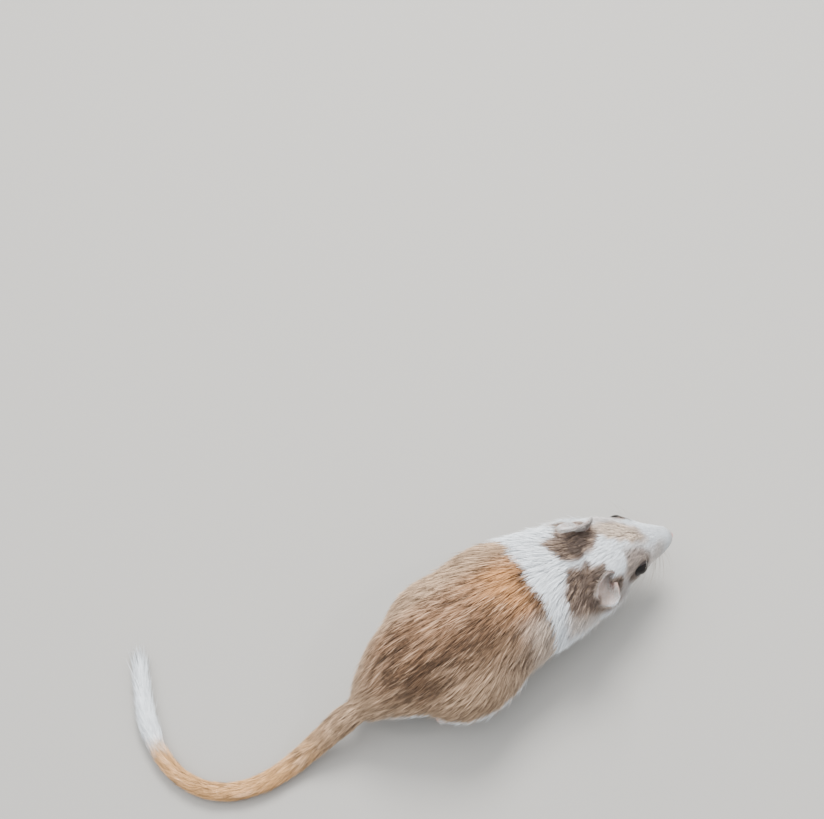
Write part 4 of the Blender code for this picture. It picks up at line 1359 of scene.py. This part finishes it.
def foot_pieces(foot):
    """The sole's centres, widths and heights, and the toes' roots, tips, radii and claws."""
    length, width, height = foot["length"], foot["width"], foot["height"]
    shares = np.linspace(0, SOLE_END, 22)
    profile = between(SOLE_ROWS, shares)
    centres = [(s * length, 0, 0.40 * h * height) for s, (_, h) in zip(shares, profile)]
    sole = (centres, profile[:, 0] * width / 2, profile[:, 1] * height * 0.62)
    toes = []
    for across, start, reach, radius, claw in foot["toes"]:
        radius, claw = radius * MM, claw * MM
        root = Vector((start * length, across * width * 0.42, radius * 0.95))
        tip = Vector((reach * length, across * width * 0.62, radius * 0.80))
        toes.append((root, tip, radius, claw))
    return sole, toes


def add_claw(bm, tip, along, length):
    """Adds a tapered claw that leaves the toe's tip and hooks down to the floor."""
    steps = np.linspace(0, 1, 9)
    start = tip - along * 0.5 * MM
    path = []
    for t in steps:
        hook = Vector((0, 0, 0.3 * MM * math.sin(2.6 * t) - 0.25 * MM * t * t))
        point = start + along * (length + 0.5 * MM) * t + hook
        path.append(Vector((point.x, point.y, max(point.z, 0.10 * MM))))
    girths = 0.34 * MM * (1 - 0.86 * steps**1.4)
    swept(bm, path, girths * 0.72, girths, sides=10)


def make_foot(side, word, kind):
    """A foot: one soft skin for the sole and toes, bare claws, and short fur on top."""
    heel = mirrored(FEET[kind]["heel"], side)
    turn = Matrix.Rotation(side * FEET[kind]["turn"], 4, "Z")
    place = Matrix.Translation((heel.x, heel.y, 0)) @ turn
    (centres, widths, heights), toes = foot_pieces(FEET[kind])
    bm = bmesh.new()
    swept(bm, centres, widths, heights, sides=28)
    claws = bmesh.new()
    for root, tip, radius, claw in toes:
        line, girths = toe_line(root, tip, radius)
        swept(bm, line, girths, girths, sides=16)
        along = (tip - root).normalized()
        pad = tip - along * radius * 0.5 - Vector((0, 0, 0.15 * MM))
        ball(bm, pad, (radius * 0.95,) * 3, 16, 10)
        add_claw(claws, tip, along, claw)
    mesh = evaluated(
        mesh_of(bm),
        REMESH={"mode": "VOXEL", "voxel_size": 0.24 * MM},
        SMOOTH={"factor": 0.5, "iterations": 4},
    )
    points = points_of(mesh)
    points[:, 2] = np.maximum(points[:, 2], 0)
    set_points(mesh, points)
    mesh.transform(place)
    foot = placed(f"{kind}_{word}", mesh.copy(), finishes["foot"])
    bmesh.ops.transform(claws, matrix=place, verts=claws.verts)
    placed(f"claws_{kind}_{word}", mesh_of(claws), finishes["claw"])
    foot_coat(mesh, place, f"coat_{kind}_{word}", FEET[kind]["length"])
    return foot


def foot_coat(mesh, place, name, length):
    """Short pale fur over the top and sides of a foot, down to the toes."""
    mesh.shade_smooth()
    points, normals = points_of(mesh), normals_of(mesh)
    density = 8 * rise(normals[:, 2], -0.35, 0.1) * rise(points[:, 2] / MM, 0.4, 0.9)
    corners, shares = roots_on(mesh, density, 1.0)
    at = (mixed(points, corners, shares), unit(mixed(normals, corners, shares)))
    local = moved(at[0], np.array(place.inverted()))
    ahead = np.array(place.to_3x3() @ Vector((1, 0, -0.15)))
    toes = rise(local[:, 0] / length, 0.55, 0.85)
    sizes = (1.9 - 1.0 * toes, 0.34 - 0.20 * toes, 0.085 - 0.03 * toes)
    first = np.tile((0.9, 0.0, 0.0, 1.0), (len(toes), 1))
    marks = (first, 0 * first, 1, 0 * toes)
    ways = np.tile(ahead, (len(toes), 1))
    short_fur(name, at, ways, 0.12, sizes, marks, fitted(local)[:, :2])


# Materials


def srgb(red, green, blue):
    """A colour given as the eye reads it (0 to 255), as the linear values shaders use."""
    linear = []
    for value in (red, green, blue):
        value = value / 255
        linear.append(value / 12.92 if value < 0.04045 else ((value + 0.055) / 1.055) ** 2.4)
    return (*linear, 1)


COLOURS = {
    "tan": srgb(184, 141, 106),
    "orange": srgb(224, 162, 105),
    "sandy": srgb(198, 166, 134),
    # umber: the coat's own dark ticking and band, and also the painted shade at the locks' edges
    "umber": srgb(66, 50, 38),
    "patch": srgb(150, 131, 119),
    "grey": srgb(148, 136, 128),
    "peach": srgb(232, 212, 192),
    "cream": srgb(234, 200, 168),
    "white": srgb(242, 248, 253),
    "tail": srgb(238, 184, 124),
}


class Nodes:
    """A short way to write a material's node tree."""

    def __init__(self, name):
        self.material = bpy.data.materials.new(name)
        self.material.use_nodes = True
        self.tree = self.material.node_tree
        self.shader = self.tree.nodes["Principled BSDF"]

    def add(self, kind, **settings):
        node = self.tree.nodes.new(kind)
        for key, value in settings.items():
            setattr(node, key, value)
        return node

    def join(self, source, target):
        self.tree.links.new(source, target)

    def fill(self, socket, value):
        """Links an output to the socket, or sets it to a constant."""
        if isinstance(value, bpy.types.NodeSocket):
            self.join(value, socket)
        else:
            socket.default_value = value

    def attribute(self, name):
        """The red, green, blue and alpha of a named attribute."""
        node = self.add("ShaderNodeAttribute", attribute_name=name)
        parts = self.add("ShaderNodeSeparateColor")
        self.join(node.outputs["Color"], parts.inputs[0])
        return (*(parts.outputs[k] for k in range(3)), node.outputs["Alpha"])

    def mix(self, factor, first, second, blend="MIX"):
        node = self.add("ShaderNodeMix", data_type="RGBA", blend_type=blend)
        self.fill(node.inputs[0], factor)
        self.fill(node.inputs[6], first)
        self.fill(node.inputs[7], second)
        return node.outputs[2]

    def maths(self, operation, first, second=0.0, third=0.0):
        node = self.add("ShaderNodeMath", operation=operation)
        for socket, value in zip(node.inputs, (first, second, third)):
            self.fill(socket, value)
        return node.outputs[0]

    def span(self, value, low, high, to_low=0.0, to_high=1.0):
        node = self.add("ShaderNodeMapRange", interpolation_type="SMOOTHSTEP")
        for socket, number in zip(node.inputs, (value, low, high, to_low, to_high)):
            self.fill(socket, number)
        return node.outputs[0]

    def noise(self, scale, detail, stretch=None):
        """Noise over the object, drawn out along each axis whose stretch is under 1."""
        place = self.add("ShaderNodeTexCoord").outputs["Object"]
        if stretch is not None:
            mapping = self.add("ShaderNodeMapping")
            mapping.inputs["Scale"].default_value = stretch
            self.join(place, mapping.inputs["Vector"])
            place = mapping.outputs[0]
        node = self.add("ShaderNodeTexNoise")
        node.inputs["Scale"].default_value = scale
        node.inputs["Detail"].default_value = detail
        self.join(place, node.inputs["Vector"])
        return node.outputs["Fac"]

    def shaded(self, colour, shade):
        """The colour, times one number."""
        grey = self.add("ShaderNodeCombineColor")
        for k in range(3):
            self.join(shade, grey.inputs[k])
        return self.mix(1.0, colour, grey.outputs[0], "MULTIPLY")

    def bump(self, height, strength, distance):
        node = self.add("ShaderNodeBump")
        node.inputs["Strength"].default_value = strength
        node.inputs["Distance"].default_value = distance
        self.join(height, node.inputs["Height"])
        self.join(node.outputs[0], self.shader.inputs["Normal"])

    def set(self, **values):
        """Fills the shader's inputs, by short names, and gives back the material."""
        names = {
            "colour": "Base Color",
            "roughness": "Roughness",
            "specular": "Specular IOR Level",
            "coat": "Coat Weight",
            "coat_roughness": "Coat Roughness",
            "sheen": "Sheen Weight",
            "sheen_roughness": "Sheen Roughness",
            "subsurface": "Subsurface Weight",
            "subsurface_scale": "Subsurface Scale",
        }
        for key, value in values.items():
            self.fill(self.shader.inputs[names[key]], value)
        return self.material


def coat_colour(nodes):
    """The coat's colour at a place: its markings, mixed from a few named colours."""
    white, brown, warm, pale = nodes.attribute("marks")
    peach, band, grey, tail = nodes.attribute("more_marks")
    colour = nodes.mix(warm, COLOURS["tan"], COLOURS["orange"])
    colour = nodes.mix(pale, colour, COLOURS["sandy"])
    colour = nodes.mix(tail, colour, COLOURS["tail"])
    colour = nodes.mix(nodes.maths("MULTIPLY", band, 0.56), colour, COLOURS["umber"])
    colour = nodes.mix(white, colour, COLOURS["white"])
    colour = nodes.mix(peach, colour, COLOURS["peach"])
    colour = nodes.mix(brown, colour, COLOURS["patch"])
    colour = nodes.mix(nodes.maths("MULTIPLY", grey, 0.8), colour, COLOURS["grey"])
    return colour, white, peach


def coat_finish():
    """Fur: pale or golden along each tuft, darker at its root, and ticked with umber; the darker
    root is partly the hairs' own grey base and partly painted shade deep in the coat, and some of
    the umber is painted shade at the locks' edges.
    """
    nodes = Nodes("coat")
    colour, white, peach = coat_colour(nodes)
    along, tone, tick_and_shade, _ = nodes.attribute("strand")
    plain = nodes.maths("SUBTRACT", 1.0, white)
    plain = nodes.maths("MULTIPLY", plain, nodes.maths("MULTIPLY_ADD", peach, -0.6, 1.0))
    fleck = nodes.noise(900, 2)
    tick_and_shade = nodes.maths("MULTIPLY", tick_and_shade, nodes.span(fleck, 0.25, 0.6, 0.5, 1.0))
    tick_and_shade = nodes.maths("MULTIPLY", tick_and_shade, nodes.maths("MULTIPLY_ADD", plain, 0.86, 0.14))
    cream = nodes.maths("MULTIPLY", nodes.span(tone, 0.55, 0.95, 0.0, 0.45), plain)
    colour = nodes.mix(cream, colour, COLOURS["cream"])
    colour = nodes.mix(nodes.maths("MULTIPLY", tick_and_shade, 0.95), colour, COLOURS["umber"])
    # painted shade, in part: each tuft darker towards its root, white fur too, for the shade deep
    # in the coat; on coloured fur it is also the hairs' own grey base
    depth = nodes.span(along, 0.0, 0.80, 0.0, 1.0)
    root = nodes.maths("MULTIPLY_ADD", white, 0.60, 0.24)
    shade = nodes.maths("MULTIPLY_ADD", nodes.maths("SUBTRACT", 1.0, root), depth, root)
    least = nodes.maths("MULTIPLY_ADD", white, 0.10, 0.61)
    most = nodes.maths("MULTIPLY_ADD", white, -0.20, 1.25)
    light = nodes.maths("MINIMUM", nodes.maths("MULTIPLY_ADD", tone, 0.60, least), most)
    colour = nodes.shaded(colour, nodes.maths("MULTIPLY", shade, light))
    return nodes.set(colour=colour, roughness=0.7, specular=0.18, sheen=0.15)


def skin_finish():
    """Skin seen between the tufts: the coat's colours, darker, with fine bump."""
    nodes = Nodes("skin")
    colour, white, _ = coat_colour(nodes)
    colour = nodes.shaded(colour, nodes.maths("MULTIPLY_ADD", white, 0.42, 0.34))
    rim, _, _, _ = nodes.attribute("rim")
    colour = nodes.mix(rim, colour, srgb(62, 52, 48))
    nodes.bump(nodes.noise(1400, 4, (0.35, 1, 1)), 0.5, 0.0004)
    return nodes.set(colour=colour, roughness=0.8, specular=0.2)


def bare_skin(name, pale, deep, roughness=0.5, grain=2200, subsurface=0.15):
    """Bare pink skin, mottled, with fine creases, and painted shade in its recesses."""
    nodes = Nodes(name)
    mottle = nodes.span(nodes.noise(420, 4), 0.35, 0.68)
    colour = nodes.mix(mottle, srgb(*pale), srgb(*deep))
    # painted shade: darker where the mesh marks a recess, such as the nostrils and the ear's
    # depth
    hollow_shade, _, _, _ = nodes.attribute("hollow_shade")
    colour = nodes.mix(hollow_shade, colour, srgb(52, 34, 32))
    nodes.bump(nodes.noise(grain, 5), 0.35, 0.00025)
    return nodes.set(
        colour=colour,
        roughness=roughness,
        specular=0.4,
        subsurface=subsurface,
        subsurface_scale=0.002,
    )


def eye_finish():
    """Near-black eye with a faint brown depth and a wet surface."""
    nodes = Nodes("eye")
    colour = nodes.mix(nodes.span(nodes.noise(300, 2), 0.3, 0.7), srgb(8, 6, 6), srgb(17, 12, 10))
    return nodes.set(colour=colour, roughness=0.07, specular=0.20, coat=0.08, coat_roughness=0.03)


def claw_finish():
    """Pale horn, mottled with darker horn, with fine grain."""
    nodes = Nodes("claw")
    colour = nodes.mix(nodes.noise(700, 3), srgb(196, 176, 156), srgb(140, 118, 100))
    nodes.bump(nodes.noise(2600, 3, (0.2, 1, 1)), 0.25, 0.0001)
    return nodes.set(colour=colour, roughness=0.35, specular=0.5)


def whisker_finish():
    """Stiff hairs, pale and mottled with darker grey-brown."""
    nodes = Nodes("whisker")
    colour = nodes.mix(nodes.noise(260, 2), srgb(196, 188, 178), srgb(120, 108, 98))
    return nodes.set(colour=colour, roughness=0.4, specular=0.5)


def make_finishes():
    """Every material of the model, by a short name."""
    return {
        "coat": coat_finish(),
        "skin": skin_finish(),
        "eye": eye_finish(),
        "lid": bare_skin("lid", (46, 38, 36), (30, 25, 24), 0.5),
        "nose": bare_skin("nose_skin", (200, 154, 148), (168, 122, 118), 0.4),
        "lip": bare_skin("lip", (204, 180, 172), (172, 146, 138), 0.5),
        # painted shade for the mouth's crease and the cleft under the nose
        "crease_shade": bare_skin("crease_shade", (74, 56, 52), (54, 40, 38), 0.6),
        "ear": bare_skin("ear_skin", (184, 158, 148), (152, 128, 118), 0.55, 1500, 0.12),
        "foot": bare_skin("foot_skin", (220, 190, 178), (198, 164, 150), 0.5),
        "claw": claw_finish(),
        "whisker": whisker_finish(),
    }


# Stage


def area_light(name, place, aim, size, power, colour):
    """A round lamp at its place, aimed at a point."""
    data = bpy.data.lights.new(name, "AREA")
    data.shape = "DISK"
    data.size = size
    data.energy = power
    data.color = colour
    made = linked(name, data)
    made.location = Vector(place)
    made.rotation_euler = (Vector(aim) - made.location).to_track_quat("-Z", "Y").to_euler()


def make_stage():
    """A pale floor and soft lights: lamps, an even sun and the sky."""
    bm = bmesh.new()
    bmesh.ops.create_grid(bm, x_segments=2, y_segments=2, size=FLOOR_SIZE)
    mesh = bpy.data.meshes.new("floor")
    bm.to_mesh(mesh)
    bm.free()
    floor = linked("floor", mesh)
    nodes = Nodes("floor")
    nodes.set(colour=srgb(*FLOOR_COLOUR), roughness=0.85, specular=0.2)
    mesh.materials.append(nodes.material)
    for name, values in LAMPS.items():
        area_light(name, *values)
    even = bpy.data.lights.new("even", "SUN")
    even.energy = SUN_POWER
    even.angle = SUN_ANGLE
    linked("even", even).rotation_euler = SUN_WAY.to_track_quat("Z", "Y").to_euler()
    world = bpy.data.worlds.new("soft")
    world.use_nodes = True
    sky = world.node_tree.nodes["Background"]
    sky.inputs[0].default_value = SKY_COLOUR
    sky.inputs[1].default_value = SKY_POWER
    bpy.context.scene.world = world


def make_camera():
    """The photograph's view, shifted sideways and up by the aim's place in the frame."""
    elevation, azimuth = CAMERA_ELEVATION, CAMERA_AZIMUTH
    ahead = Vector(
        (
            -math.sin(azimuth) * math.cos(elevation),
            math.cos(azimuth) * math.cos(elevation),
            -math.sin(elevation),
        )
    )
    right = Vector((math.cos(azimuth), math.sin(azimuth), 0))
    up = right.cross(ahead)
    aside = (AIM_PIXEL[0] - PHOTO_WIDTH / 2) / FOCAL_PIXELS * AIM_DEPTH
    above = (PHOTO_HEIGHT / 2 - AIM_PIXEL[1]) / FOCAL_PIXELS * AIM_DEPTH
    data = bpy.data.cameras.new("camera")
    data.sensor_width = SENSOR_WIDTH
    data.lens = FOCAL_PIXELS / PHOTO_WIDTH * SENSOR_WIDTH
    data.clip_start, data.clip_end = 0.01, 20
    camera = linked("camera", data)
    turn = Matrix((right, up, -ahead)).transposed().to_4x4()
    place = AIM_POINT + TO_ROW - right * aside - up * above - ahead * AIM_DEPTH
    camera.matrix_world = Matrix.Translation(place) @ turn
    bpy.context.scene.camera = camera


finishes = make_finishes()


def main():
    """The stage first, then the skin and coat, and then everything that sits on them."""
    make_camera()
    make_stage()
    skin, weights, depth = make_skin()
    points = points_of(skin)
    tree = BVHTree.FromPolygons(points.tolist(), [tuple(p.vertices) for p in skin.polygons])
    coat = make_coat(skin, weights, depth, tree)
    first, second = markings(points)
    give(skin, "marks", first)
    give(skin, "more_marks", second)
    give(skin, "rim", eye_rim(points)[:, None])
    skin.shade_smooth()
    body = placed("skin", skin, finishes["skin"])
    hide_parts(*FLESH)
    for side, word in ((1, "left"), (-1, "right")):
        eye = make_eye(side, f"eye_{word}_ball")
        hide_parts(f"eye_{word}")
        make_lids(side, word)
        ear = make_ear(side, f"{word}_sheet")
        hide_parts(f"ear_{word}")
        for kind in FEET:
            foot = make_foot(side, f"{word}_skin", kind)
            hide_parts(f"{kind}_{word}")
    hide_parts("tail_brush")
    make_nose()
    make_mouth(tree)
    make_whiskers(tree)


main()
